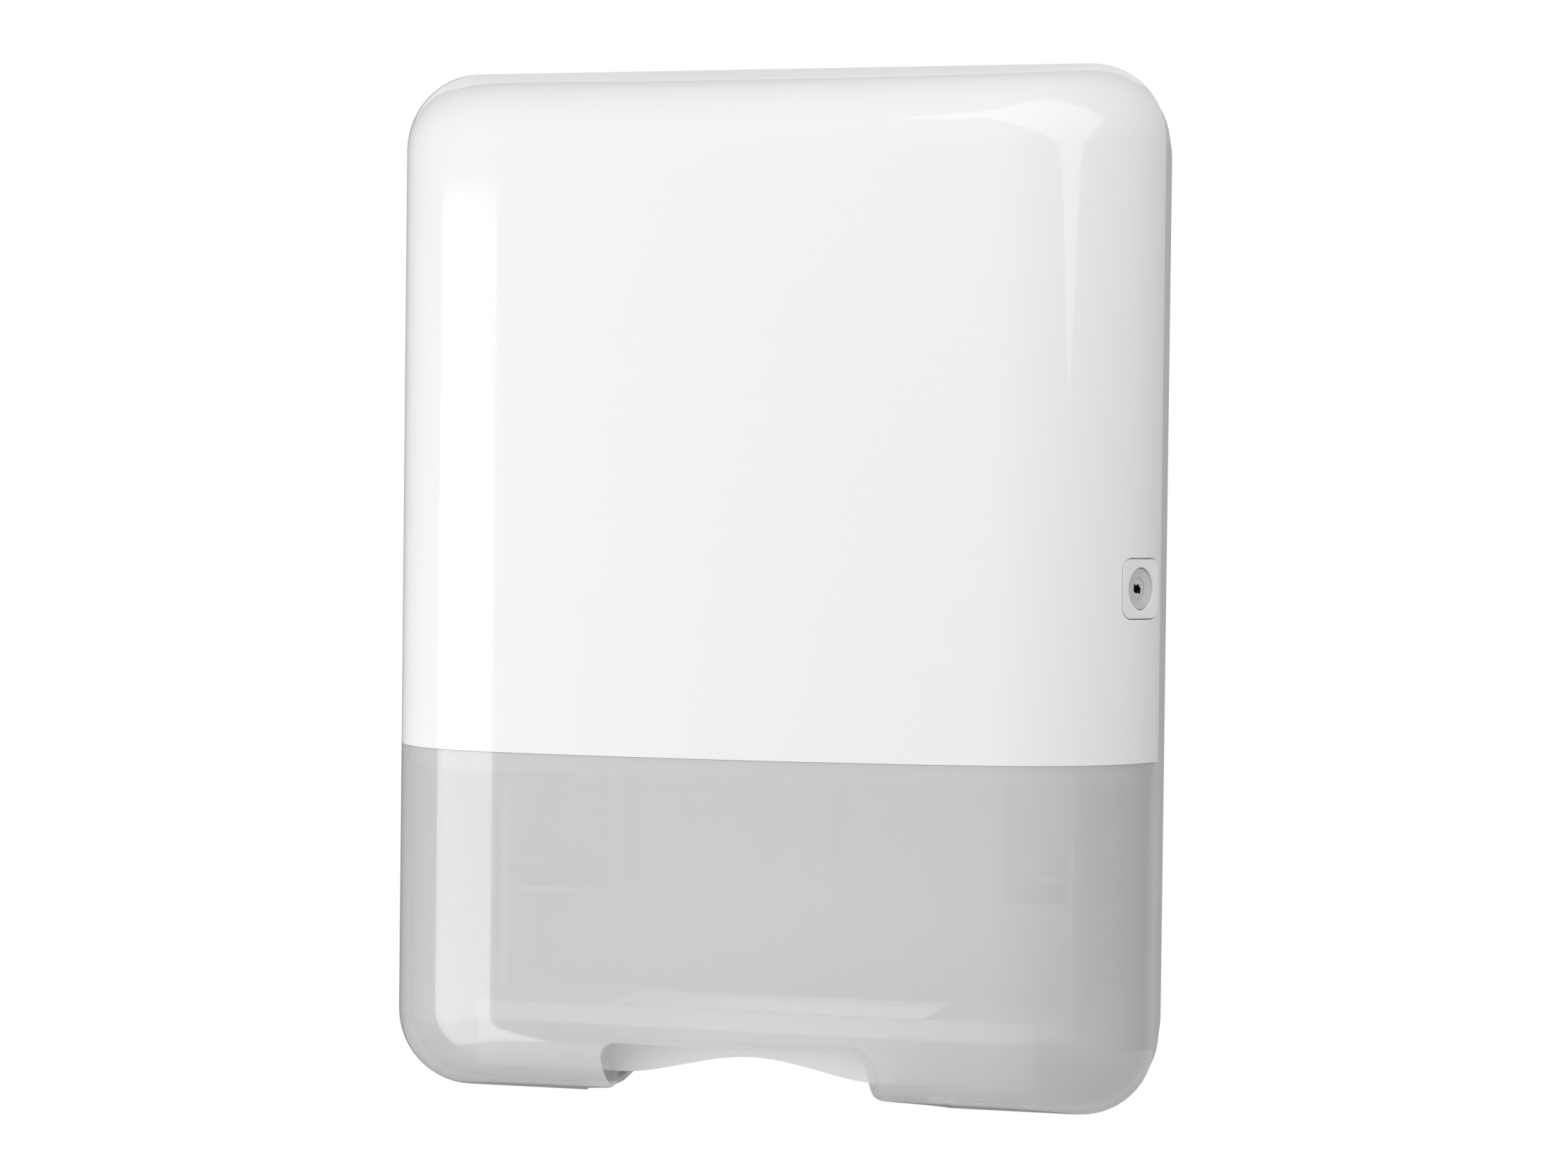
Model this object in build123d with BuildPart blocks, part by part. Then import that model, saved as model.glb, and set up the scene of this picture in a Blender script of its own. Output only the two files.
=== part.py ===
from build123d import *
from math import atan, atan2, cos, degrees, radians, sin, sqrt
import os

# Folded towel dispenser, in millimetres.
# The wall is the plane y = 0 and the front faces -Y. x is centred, z = 0 is at mid-height, +Z is up.
# The cover turns about a vertical axis at its left edge. A push-button lock holds its right edge.

# Whole dispenser
WIDTH = 333.0
HEIGHT = 439.0
HOUSING_DEPTH = 72.0
COVER_DEPTH = 64.0

# Cover: a crowned front, round shoulders, sloped ends, and one rolled radius at top and bottom
CROWN_R = 693.0
SHOULDER_R = 74.0
END_SLOPE = 0.20
EDGE_R = 33.0
COVER_WALL = 2.5
FUSE = 1.5
PARTING_RISE = 148.7
PARTING_GAP = 0.2

# Lap joint between the white cover and the window, held by pegs and push nuts
LAP_GAP = 0.1
LAP_WALL = 1.6
LAP_UP = 10.0
LAP_DOWN = 8.0
LAP_SEAM_GAP = 3.0
PEG_SPREAD = 0.27
PEG_MIDDLE = 0.1
PEG_RISE = 5.5
PEG_R = 1.5
PEG_HOLE_GAP = 0.3
PEG_STAND = 2.5
PUSH_NUT_R = 4.0
PUSH_NUT_THICK = 0.6
PUSH_NUT_GAP = 0.02

# Outlet notch in the window, with a returned edge
NOTCH_HALF = 57.0
NOTCH_RISE = 29.5
NOTCH_CORNER_R = 8.0
RETURN_DEPTH = 4.5
RETURN_WALL = 2.0

# Rear housing
SEAM_GAP = 1.0
RIM_INSET = 1.6
RIM_BAND = 20.0
HOUSING_TAPER = 8.0
HOUSING_WALL = 2.5
OUTLET_HALF = 70.0
OUTLET_RISE = 23.5
PAD_WIDTH = 24.4
PAD_RISE = 82.5
PAD_LENGTH = 117.0
PAD_THICK = 3.0
SLOT_WIDTH = 6.0
SLOT_LENGTH = 32.0
SLOT_RISE = 106.5
WALL_HOLE_R = 3.0
WALL_HOLE_SPACING_X = 180.0
WALL_HOLE_SPACING_Z = 217.0
WALL_HOLE_DROP = 163.0
WALL_BOSS_R = 9.0
RIB_X = 45.0
RIB_WALL = 2.0
RIB_HEIGHT = 3.0
RIB_RISE = 164.5
RIB_DROP = 29.5
BOSS_R = 4.5
BOSS_DEPTH = 4.5

# Towel tray
TRAY_SIDE_GAP = 45.5
TRAY_REACH = 28.0
TRAY_WALL = 2.5
TRAY_RISE = 40.5
TRAY_FLOOR_DROP = 2.0
TRAY_BOTTOM_RISE = 13.0
LIP_PEAK_RISE = 21.6
LIP_SHOULDER_X = 37.0
LIP_SHOULDER_RISE = 15.5
LIP_HALF = 58.0
TRAY_OUTLET_FRONT = 6.0
TRAY_OUTLET_BACK = -28.0
TRAY_TAB_HEIGHT = 13.0
TRAY_SCREW_IN = 23.0

# Side guides
GUIDE_TRAY_GAP = 4.0
GUIDE_WALL = 2.5
GUIDE_DEPTH = 45.0
GUIDE_DROP = 69.5
GUIDE_LIFT = 0.3
FLANGE_RISE = 82.5
FLANGE_WIDTH = 41.5
FLANGE_WALL = 2.4
BEAD_WIDTH = 6.5
BEAD_DEPTH = 4.0
LEDGE_WIDTH = 31.0
LEDGE_DEPTH = 40.0
LEDGE_WALL = 2.0
FINGER_RISE = 94.5
FINGER_WIDTH = 13.5
FINGER_DEPTH = 6.0
FINGER_WALL = 2.0
GUIDE_SCREW_IN = 20.0
GUIDE_SCREW_RISE = 199.5
GUIDE_SCREW_DROP = 99.5

# Hinge on the left side
HINGE_IN = 9.0
HINGE_BACK = 12.0
UPPER_ARM_DROP = 79.5
LOWER_ARM_RISE = 183.5
ARM_HEIGHT = 14.0
KNUCKLE_R = 4.6
PIN_R = 2.0
PIN_RUN = 0.05
PIN_SEAT = 0.02
PIN_HEAD_R = 3.4
PIN_HEAD = 1.6
LUG_GAP = 0.5
LUG_HEIGHT = 6.0
LUG_R = 5.0
ARM_BAR = 6.0
ARM_WALL_GAP = 0.4
FOOT_BACK = 18.0
FOOT_FRONT = 40.0
FOOT_SIDE = 24.0
FOOT_SCREWS = [(9.5, 26.0), (17.5, 35.0)]
SHELF_THICK = 5.0
SHELF_EDGE = 2.0
ARM_SLOT_GAP = 1.5
ARM_SLOT_BACK = 20.0

# Lock on the right shoulder: its middle lies on the shoulder arc, LOCK_ANGLE forward of the +X direction.
# Depths are measured inwards from the cover's surface at its middle.
LOCK_Z = 1.3
LOCK_ANGLE = 25.7
BEZEL = 24.6
BEZEL_CORNER_R = 5.0
BEZEL_GAP = 0.15
BEZEL_FACE = 0.4
BEZEL_EDGE_R = 0.2
BEZEL_SEAT = 4.0
LOCK_PAD = 35.0
LOCK_PAD_BACK = 8.0
BARREL_R = 10.4
BARREL_GAP = 0.2
BARREL_END = 19.4
BARREL_FLOOR = 2.0
NUT_R = 13.0
NUT_THICK = 4.0
BUTTON_R = 8.72
BUTTON_RUN = 0.08
BUTTON_FACE = 1.4
BUTTON_BACK = 9.4
BUTTON_DISH = 0.8
CORE_R = 4.5
CORE_RUN = 0.05
CORE_FACE = 2.4
CORE_STEP = 7.0
CORE_FLANGE = 1.0
CORE_FLANGE_R = 5.6
KEY_SLOT_DEPTH = 2.6
KEY_SLOT = [
    (-2.6, -1.0), (-1.3, -2.0), (0.0, -0.9), (1.2, -1.7), (2.6, -0.2),
    (1.6, 1.0), (0.6, 0.2), (-0.4, 1.9), (-1.4, 0.5), (-2.6, 0.9),
]
DISC_R = 7.6
DISC_SEAT = 0.02
STEM_R = 2.5
STEM_RUN = 0.08
STEM_END = 25.0
STEM_DOME_R = 4.0
STEM_DOME_HEIGHT = 2.0
RING_R = 4.5
RING_THICK = 0.8
RING_GAP = 0.2
RING_PLAY = 0.05
RING_OPENING = 3.2
GROOVE = 0.5
SPRING_WIRE = 0.8
SPRING_R = 5.8
SPRING_TURNS = 3.5
SPRING_END_GAP = 0.1

# Latch lever, in plan: it turns about a vertical pin in front of the lock
PIVOT_SIDE = 24.75
PIVOT_IN = 16.1
LEVER_GAP = 0.4
LEVER_HEIGHT = 8.0
LEVER_BAR = 5.0
LEVER_PAD = 7.0
KNEE_SET = 1.5
HUB_R = 4.6
HUB_RISE = 5.0
LATCH_PIN_R = 1.5
LATCH_PIN_HEAD_R = 2.6
LATCH_PIN_HEAD = 1.2
PIVOT_LUG = 3.5
PIVOT_LUG_GAP = 0.4
PIVOT_LUG_BACK = 4.6
PIVOT_LUG_FRONT = 10.5
PIVOT_LUG_SIDE = 5.0
CATCH_BACK = 10.0
CATCH_GAP = 0.3
CATCH_THICK = 4.0
CATCH_REACH = 8.4
CATCH_HALF = 8.0
CATCH_CHAMFER = 1.3
TOOTH_REACH = 4.0
TOOTH_LENGTH = 5.5
TOOTH_TIP_LENGTH = 1.8
TOOTH_RAMP = 6.6
TOOTH_ROOT = 11.0
STRIKE_WALL = 2.0
STRIKE_HALF = 13.0
STRIKE_SCREW_Y = 5.5
STRIKE_SCREW_Z = 8.0
STRIKE_HOLE_DEPTH = 2.0
LATCH_SPRING_R = 5.6
LATCH_SPRING_TURNS = 3.0
LATCH_SPRING_PITCH = 1.1
LATCH_LEG = 12.0
EAR_START = 7.2
STOP_LEG = 9.5
SPRING_STOP = 2.5
SPRING_STOP_GAP = 0.2

# Screws
SCREW_R = 1.5
SCREW_GAP = 0.02
SCREW_HEAD_R = 2.9
SCREW_HEAD = 1.8
SCREW_RECESS = 2.6
SCREW_RECESS_WIDTH = 0.7
SCREW_RECESS_DEPTH = 0.9
SCREW_END_GAP = 0.9

# Places that follow from the sizes above
SEAM_Y = -HOUSING_DEPTH
FRONT_Y = SEAM_Y - COVER_DEPTH
CROWN_Y = FRONT_Y + CROWN_R
HINGE_X = -(WIDTH / 2 - HINGE_IN)
HINGE_Y = SEAM_Y + HINGE_BACK
RIM_Y = SEAM_Y + SEAM_GAP
BAND_Y = RIM_Y + RIM_BAND
RIM_X = WIDTH / 2 - RIM_INSET
RIM_INNER_X = RIM_X - HOUSING_WALL
BOSS_Y = -HOUSING_WALL - PAD_THICK
LAP_INNER = COVER_WALL + LAP_GAP + LAP_WALL
CATCH_Y = SEAM_Y + CATCH_BACK

# Heights: the window, the outlet, the tray and the guides' feet go with the bottom, the rest with the top
TOP_Z = HEIGHT / 2
BOTTOM_Z = -HEIGHT / 2
PARTING_Z = BOTTOM_Z + PARTING_RISE
NOTCH_TOP = BOTTOM_Z + NOTCH_RISE
OUTLET_TOP = BOTTOM_Z + OUTLET_RISE
PAD_LOW = BOTTOM_Z + PAD_RISE
SLOT_Z = BOTTOM_Z + SLOT_RISE
WALL_HOLE_MID_Z = TOP_Z - WALL_HOLE_DROP
TRAY_TOP = BOTTOM_Z + TRAY_RISE
TRAY_BOTTOM = BOTTOM_Z + TRAY_BOTTOM_RISE
LIP_SHOULDER_Z = BOTTOM_Z + LIP_SHOULDER_RISE
LIP_PEAK = BOTTOM_Z + LIP_PEAK_RISE
GUIDE_HIGH = TOP_Z - GUIDE_DROP
FLANGE_LOW = BOTTOM_Z + FLANGE_RISE
FINGER_Z = BOTTOM_Z + FINGER_RISE
GUIDE_SCREW_Z = [BOTTOM_Z + GUIDE_SCREW_RISE, TOP_Z - GUIDE_SCREW_DROP]
ARM_Z = {"upper": TOP_Z - UPPER_ARM_DROP, "lower": BOTTOM_Z + LOWER_ARM_RISE}

# Places across the width
PEG_X = [WIDTH * share for share in (-PEG_SPREAD, -PEG_MIDDLE, PEG_MIDDLE, PEG_SPREAD)]
TRAY_HALF = WIDTH / 2 - TRAY_SIDE_GAP
TRAY_SCREW_X = TRAY_HALF - TRAY_SCREW_IN
GUIDE_INNER = TRAY_HALF + GUIDE_TRAY_GAP
GUIDE_OUTER = GUIDE_INNER + GUIDE_WALL
GUIDE_SCREW_X = GUIDE_INNER - GUIDE_SCREW_IN
FLANGE_EDGE = GUIDE_INNER - FLANGE_WIDTH
BEAD_EDGE = FLANGE_EDGE + BEAD_WIDTH
LEDGE_EDGE = GUIDE_INNER - LEDGE_WIDTH
FINGER_EDGE = GUIDE_INNER - FINGER_WIDTH


SEAM = Plane.XZ.offset(-SEAM_Y)


def shoulder_centre():
    """Centre of the right shoulder arc: it meets the cover's rear corner and touches the crown arc."""
    reach = CROWN_R - SHOULDER_R
    span = sqrt((WIDTH / 2) ** 2 + (CROWN_Y - SEAM_Y) ** 2)
    ex = WIDTH / 2 / span
    ey = (SEAM_Y - CROWN_Y) / span
    along = (reach ** 2 - SHOULDER_R ** 2 + span ** 2) / (2 * span)
    side = sqrt(reach ** 2 - along ** 2)
    return along * ex + side * ey, CROWN_Y + along * ey - side * ex


SHOULDER_X, SHOULDER_Y = shoulder_centre()


def front_y(x, inset):
    """Where the crowned front, moved in by inset, stands at x."""
    return CROWN_Y - sqrt((CROWN_R - inset) ** 2 - x ** 2)


def front_plane(x, z):
    """Plane on the crowned front at x and z, facing inwards."""
    y = front_y(x, 0)
    return Plane(origin=(x, y, z), z_dir=(-x, CROWN_Y - y, 0))


def end_z(y, inset):
    """Height of the sloped top, moved in by inset, at y. The bottom mirrors it."""
    return TOP_Z - END_SLOPE * (SEAM_Y - y) - inset * sqrt(1 + END_SLOPE ** 2)


def plan(height, inset):
    """Outline of the cover seen from above, moved in by inset, carried back to the shoulder centres."""
    turn = atan((CROWN_Y - SHOULDER_Y) / SHOULDER_X)
    r = SHOULDER_R - inset
    rear = (SHOULDER_X + r, SHOULDER_Y)
    middle = (SHOULDER_X + r * cos(turn / 2), SHOULDER_Y - r * sin(turn / 2))
    touch = (SHOULDER_X + r * cos(turn), SHOULDER_Y - r * sin(turn))
    with BuildSketch(Plane.XY.offset(height)) as outline:
        with BuildLine():
            Line((-rear[0], rear[1]), rear)
            ThreePointArc(rear, middle, touch)
            ThreePointArc(touch, (0, FRONT_Y + inset), (-touch[0], touch[1]))
            ThreePointArc((-touch[0], touch[1]), (-middle[0], middle[1]), (-rear[0], rear[1]))
        make_face()
    return outline.sketch


def cover_form(inset):
    """Solid inside the cover's outer surface moved in by inset, carried on behind the seam."""
    back_z = end_z(SHOULDER_Y, inset)
    tip_z = end_z(FRONT_Y, inset)
    with BuildPart() as form:
        extrude(plan(-HEIGHT, inset), amount=2 * HEIGHT)
        with BuildSketch(Plane.YZ):
            Polygon(
                (SHOULDER_Y, back_z), (SHOULDER_Y, -back_z), (FRONT_Y, -tip_z), (FRONT_Y, tip_z), align=None
            )
        extrude(amount=WIDTH, both=True, mode=Mode.INTERSECT)
        top = form.faces().sort_by(Axis.Z)[-1].edges().sort_by(Axis.Y)[:-1]
        bottom = form.faces().sort_by(Axis.Z)[0].edges().sort_by(Axis.Y)[:-1]
        fillet(top + bottom, EDGE_R - inset)
    return form.part


def band(low_z, high_z, outer_inset, inner_inset):
    """Wall band that follows the cover between two heights and stops short of the seam."""
    with BuildPart() as strip:
        extrude(plan(low_z, outer_inset), amount=high_z - low_z)
        extrude(plan(low_z, inner_inset), amount=high_z - low_z, mode=Mode.SUBTRACT)
        split(bisect_by=SEAM.offset(LAP_SEAM_GAP), keep=Keep.TOP)
    return strip.part


def bar(a, b, width):
    """Round-ended bar from a to b, as a sketch."""
    run = Vector(b[0] - a[0], b[1] - a[1])
    middle = ((a[0] + b[0]) / 2, (a[1] + b[1]) / 2, 0)
    with BuildSketch() as shape:
        with Locations(Location(middle, (0, 0, degrees(atan2(run.Y, run.X))))):
            SlotCenterToCenter(run.length, width)
    return shape.sketch


def box(low, high):
    """Block between two corners."""
    with BuildPart() as block:
        with Locations(tuple((a + b) / 2 for a, b in zip(low, high))):
            Box(*(abs(b - a) for a, b in zip(low, high)))
    return block.part


def rod(plane, radius, length):
    """Round bar standing on the plane."""
    with BuildPart() as shape:
        with BuildSketch(plane):
            Circle(radius)
        extrude(amount=length)
    return shape.part


def screw(plane, length):
    """Pan-head screw with a cross recess. The plane lies under its head, with the normal out of the head."""
    with BuildPart() as shape:
        with BuildSketch(plane):
            Circle(SCREW_R)
        extrude(amount=-length)
        with BuildSketch(plane):
            Circle(SCREW_HEAD_R)
        extrude(amount=SCREW_HEAD)
        rims = shape.edges().filter_by(GeomType.CIRCLE).sort_by(Axis(plane.origin, plane.z_dir))
        fillet(rims[-1], SCREW_HEAD / 2)
        with BuildSketch(plane.offset(SCREW_HEAD)):
            Rectangle(SCREW_RECESS, SCREW_RECESS_WIDTH)
            Rectangle(SCREW_RECESS_WIDTH, SCREW_RECESS)
        extrude(amount=-SCREW_RECESS_DEPTH, mode=Mode.SUBTRACT)
    return shape.part


def spring_coil(radius, pitch, turns, start_leg=0, end_leg=0):
    """Round-wire coil standing on the origin, with straight legs that leave it along the wire."""
    with BuildPart() as shape:
        with BuildLine() as wire:
            Helix(pitch, pitch * turns, radius)
        start = Plane(origin=wire.line @ 0, z_dir=wire.line % 0)
        end = Plane(origin=wire.line @ 1, z_dir=wire.line % 1)
        with BuildSketch(start):
            Circle(SPRING_WIRE / 2)
        sweep(is_frenet=True)
        if start_leg:
            add(rod(start, SPRING_WIRE / 2, -start_leg))
        if end_leg:
            add(rod(end, SPRING_WIRE / 2, end_leg))
    return shape.part


def rounded_prism(half_x, half_z, radius, near_y, far_y, taper=0):
    """Rounded rectangle in the XZ plane, carried from near_y back to far_y, narrowing by taper degrees."""
    plane = Plane(origin=(0, near_y, 0), x_dir=(1, 0, 0), z_dir=(0, 1, 0))
    with BuildPart() as shape:
        with BuildSketch(plane):
            RectangleRounded(2 * half_x, 2 * half_z, radius)
        extrude(amount=far_y - near_y, taper=taper)
    return shape.part


# The lock's own directions: out of the cover, and along it towards the wall
LOCK_OUT = Vector(cos(radians(LOCK_ANGLE)), -sin(radians(LOCK_ANGLE)), 0)
LOCK_ALONG = Vector(sin(radians(LOCK_ANGLE)), cos(radians(LOCK_ANGLE)), 0)
LOCK_MIDDLE = Vector(SHOULDER_X, SHOULDER_Y, LOCK_Z) + LOCK_OUT * SHOULDER_R
LOCK_PLANE = Plane(origin=LOCK_MIDDLE, x_dir=LOCK_ALONG, z_dir=LOCK_OUT)


def lock_depth(depth):
    """Plane across the lock, that far inside the cover's surface."""
    return LOCK_PLANE.offset(-depth)


def lock_point(along, depth):
    """Point in plan, that far along the cover from the lock's axis and that far inside."""
    spot = LOCK_MIDDLE + LOCK_ALONG * along - LOCK_OUT * depth
    return spot.X, spot.Y


def ball(depth, radius):
    """Ball with its middle on the lock's axis, that far inside."""
    with BuildPart() as shape:
        with Locations(LOCK_MIDDLE - LOCK_OUT * depth):
            Sphere(radius)
    return shape.part


PIVOT = lock_point(-PIVOT_SIDE, PIVOT_IN)
LEVER_LOW = LOCK_Z - LEVER_HEIGHT / 2
LEVER_HIGH = LOCK_Z + LEVER_HEIGHT / 2
HUB_HIGH = LEVER_HIGH + HUB_RISE
LATCH_LUG_LOW = LEVER_LOW - PIVOT_LUG_GAP - PIVOT_LUG
LATCH_LUG_HIGH = HUB_HIGH + PIVOT_LUG_GAP + PIVOT_LUG
LATCH_LEG_X = PIVOT[0] - LATCH_SPRING_R + SPRING_WIRE / 2 + SPRING_STOP_GAP
STRIKE_X = RIM_INNER_X - STRIKE_WALL
CATCH_TIP_X = STRIKE_X - CATCH_REACH

os.makedirs("parts", exist_ok=True)

OUTER = cover_form(0)
INNER = cover_form(COVER_WALL)
CLIP = cover_form(FUSE)

# Blocks moulded on the inside of the white cover, trimmed by its wall
with BuildPart() as cover_blocks:
    for arm_z in ARM_Z.values():
        shelf_top = arm_z - ARM_HEIGHT / 2
        add(box(
            (HINGE_X - HINGE_IN, HINGE_Y - FOOT_FRONT - SHELF_EDGE, shelf_top - SHELF_THICK),
            (HINGE_X + FOOT_SIDE + SHELF_EDGE, HINGE_Y - FOOT_BACK, shelf_top),
        ))
    with BuildSketch(lock_depth(FUSE)):
        RectangleRounded(LOCK_PAD, LOCK_PAD, BEZEL_CORNER_R)
    extrude(amount=FUSE - LOCK_PAD_BACK)
    for low_z in (LATCH_LUG_LOW, LATCH_LUG_HIGH - PIVOT_LUG):
        add(box(
            (PIVOT[0] - PIVOT_LUG_SIDE, PIVOT[1] - PIVOT_LUG_FRONT, low_z),
            (WIDTH / 2, PIVOT[1] + PIVOT_LUG_BACK, low_z + PIVOT_LUG),
        ))
    add(box(
        (LATCH_LEG_X, PIVOT[1] - PIVOT_LUG_FRONT, LATCH_LUG_LOW),
        (LATCH_LEG_X + SPRING_STOP, PIVOT[1] - PIVOT_LUG_FRONT + SPRING_STOP, LATCH_LUG_HIGH),
    ))
    for peg_x in PEG_X:
        peg_plane = front_plane(peg_x, PARTING_Z + PEG_RISE)
        add(rod(peg_plane.offset(FUSE), PEG_R, LAP_INNER + PEG_STAND - FUSE))
    add(CLIP, mode=Mode.INTERSECT)
    split(bisect_by=SEAM, keep=Keep.TOP)

# White upper cover: one moulded shell with the hinge shelves, the lock's seat and the pegs of the lap joint
with BuildPart() as cover_upper:
    add(OUTER)
    add(INNER, mode=Mode.SUBTRACT)
    split(bisect_by=SEAM, keep=Keep.TOP)
    split(bisect_by=Plane.XY.offset(PARTING_Z), keep=Keep.TOP)
    add(cover_blocks.part)
    with BuildSketch(lock_depth(BEZEL_SEAT)):
        RectangleRounded(BEZEL + 2 * BEZEL_GAP, BEZEL + 2 * BEZEL_GAP, BEZEL_CORNER_R + BEZEL_GAP)
    extrude(amount=BEZEL, mode=Mode.SUBTRACT)
    with BuildSketch(lock_depth(BEZEL_SEAT)):
        Circle(BARREL_R + BARREL_GAP)
    extrude(amount=-LOCK_PAD_BACK, mode=Mode.SUBTRACT)
    with BuildSketch(Plane.XY.offset(LATCH_LUG_LOW)):
        with Locations(PIVOT):
            Circle(LATCH_PIN_R + PIN_SEAT)
    extrude(amount=LATCH_LUG_HIGH - LATCH_LUG_LOW, mode=Mode.SUBTRACT)
    for arm_z in ARM_Z.values():
        with BuildSketch(Plane.XY.offset(arm_z - ARM_HEIGHT / 2)):
            with Locations([(HINGE_X + x, HINGE_Y - y) for x, y in FOOT_SCREWS]):
                Circle(SCREW_R + SCREW_GAP)
        extrude(amount=-SHELF_THICK, mode=Mode.SUBTRACT)
cover_upper.part.label = "cover_upper"
export_step(cover_upper.part, "parts/cover_upper.step")

# Smoke-grey window: the lower shell with its tongue behind the white cover and the outlet notch
with BuildPart() as notch_return:
    with BuildSketch(SEAM):
        with Locations((0, NOTCH_TOP - HEIGHT / 2)):
            RectangleRounded(
                2 * (NOTCH_HALF + RETURN_WALL), HEIGHT + 2 * RETURN_WALL, NOTCH_CORNER_R + RETURN_WALL
            )
    extrude(amount=2 * COVER_DEPTH)
    add(CLIP, mode=Mode.INTERSECT)
    add(cover_form(COVER_WALL + RETURN_DEPTH), mode=Mode.SUBTRACT)

with BuildPart() as cover_window:
    add(OUTER)
    add(INNER, mode=Mode.SUBTRACT)
    split(bisect_by=SEAM, keep=Keep.TOP)
    split(bisect_by=Plane.XY.offset(PARTING_Z - PARTING_GAP), keep=Keep.BOTTOM)
    add(notch_return.part)
    with BuildSketch(SEAM.offset(-COVER_WALL)):
        with Locations((0, NOTCH_TOP - HEIGHT / 2)):
            RectangleRounded(2 * NOTCH_HALF, HEIGHT, NOTCH_CORNER_R)
    extrude(amount=2 * COVER_DEPTH, mode=Mode.SUBTRACT)
    add(band(PARTING_Z - LAP_DOWN, PARTING_Z - PARTING_GAP, FUSE, LAP_INNER))
    add(band(PARTING_Z - LAP_DOWN, PARTING_Z + LAP_UP, COVER_WALL + LAP_GAP, LAP_INNER))
    for peg_x in PEG_X:
        peg_plane = front_plane(peg_x, PARTING_Z + PEG_RISE)
        add(rod(peg_plane, PEG_R + PEG_HOLE_GAP, LAP_INNER + PEG_STAND), mode=Mode.SUBTRACT)
cover_window.part.label = "cover_window"
export_step(cover_window.part, "parts/cover_window.step")

# Push nuts: pressed rings that hold the window's tongue on the pegs
with BuildPart() as push_nuts:
    for peg_x in PEG_X:
        with BuildSketch(front_plane(peg_x, PARTING_Z + PEG_RISE).offset(LAP_INNER + LAP_GAP)):
            Circle(PUSH_NUT_R)
            Circle(PEG_R + PUSH_NUT_GAP, mode=Mode.SUBTRACT)
        extrude(amount=PUSH_NUT_THICK)
push_nuts.part.label = "push_nuts"
export_step(push_nuts.part, "parts/push_nuts.step")

# Rear housing: a moulded tray against the wall, with a straight rim behind the cover's edge
RIM_HALF_Z = TOP_Z - RIM_INSET
RIM_CORNER_R = EDGE_R - RIM_INSET
TRAY_FRONT_Y = SEAM_Y - TRAY_REACH
TRAY_FLOOR_TOP = TRAY_TOP - TRAY_FLOOR_DROP
TRAY_TAB_LOW = TRAY_FLOOR_TOP - TRAY_WALL - TRAY_TAB_HEIGHT
GUIDE_SCREWS = [(side * GUIDE_SCREW_X, z) for side in (-1, 1) for z in GUIDE_SCREW_Z]
TRAY_SCREWS = [(side * TRAY_SCREW_X, TRAY_TAB_LOW + TRAY_TAB_HEIGHT / 2) for side in (-1, 1)]
STRIKE_SCREWS = [LOCK_Z - STRIKE_SCREW_Z, LOCK_Z + STRIKE_SCREW_Z]
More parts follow.
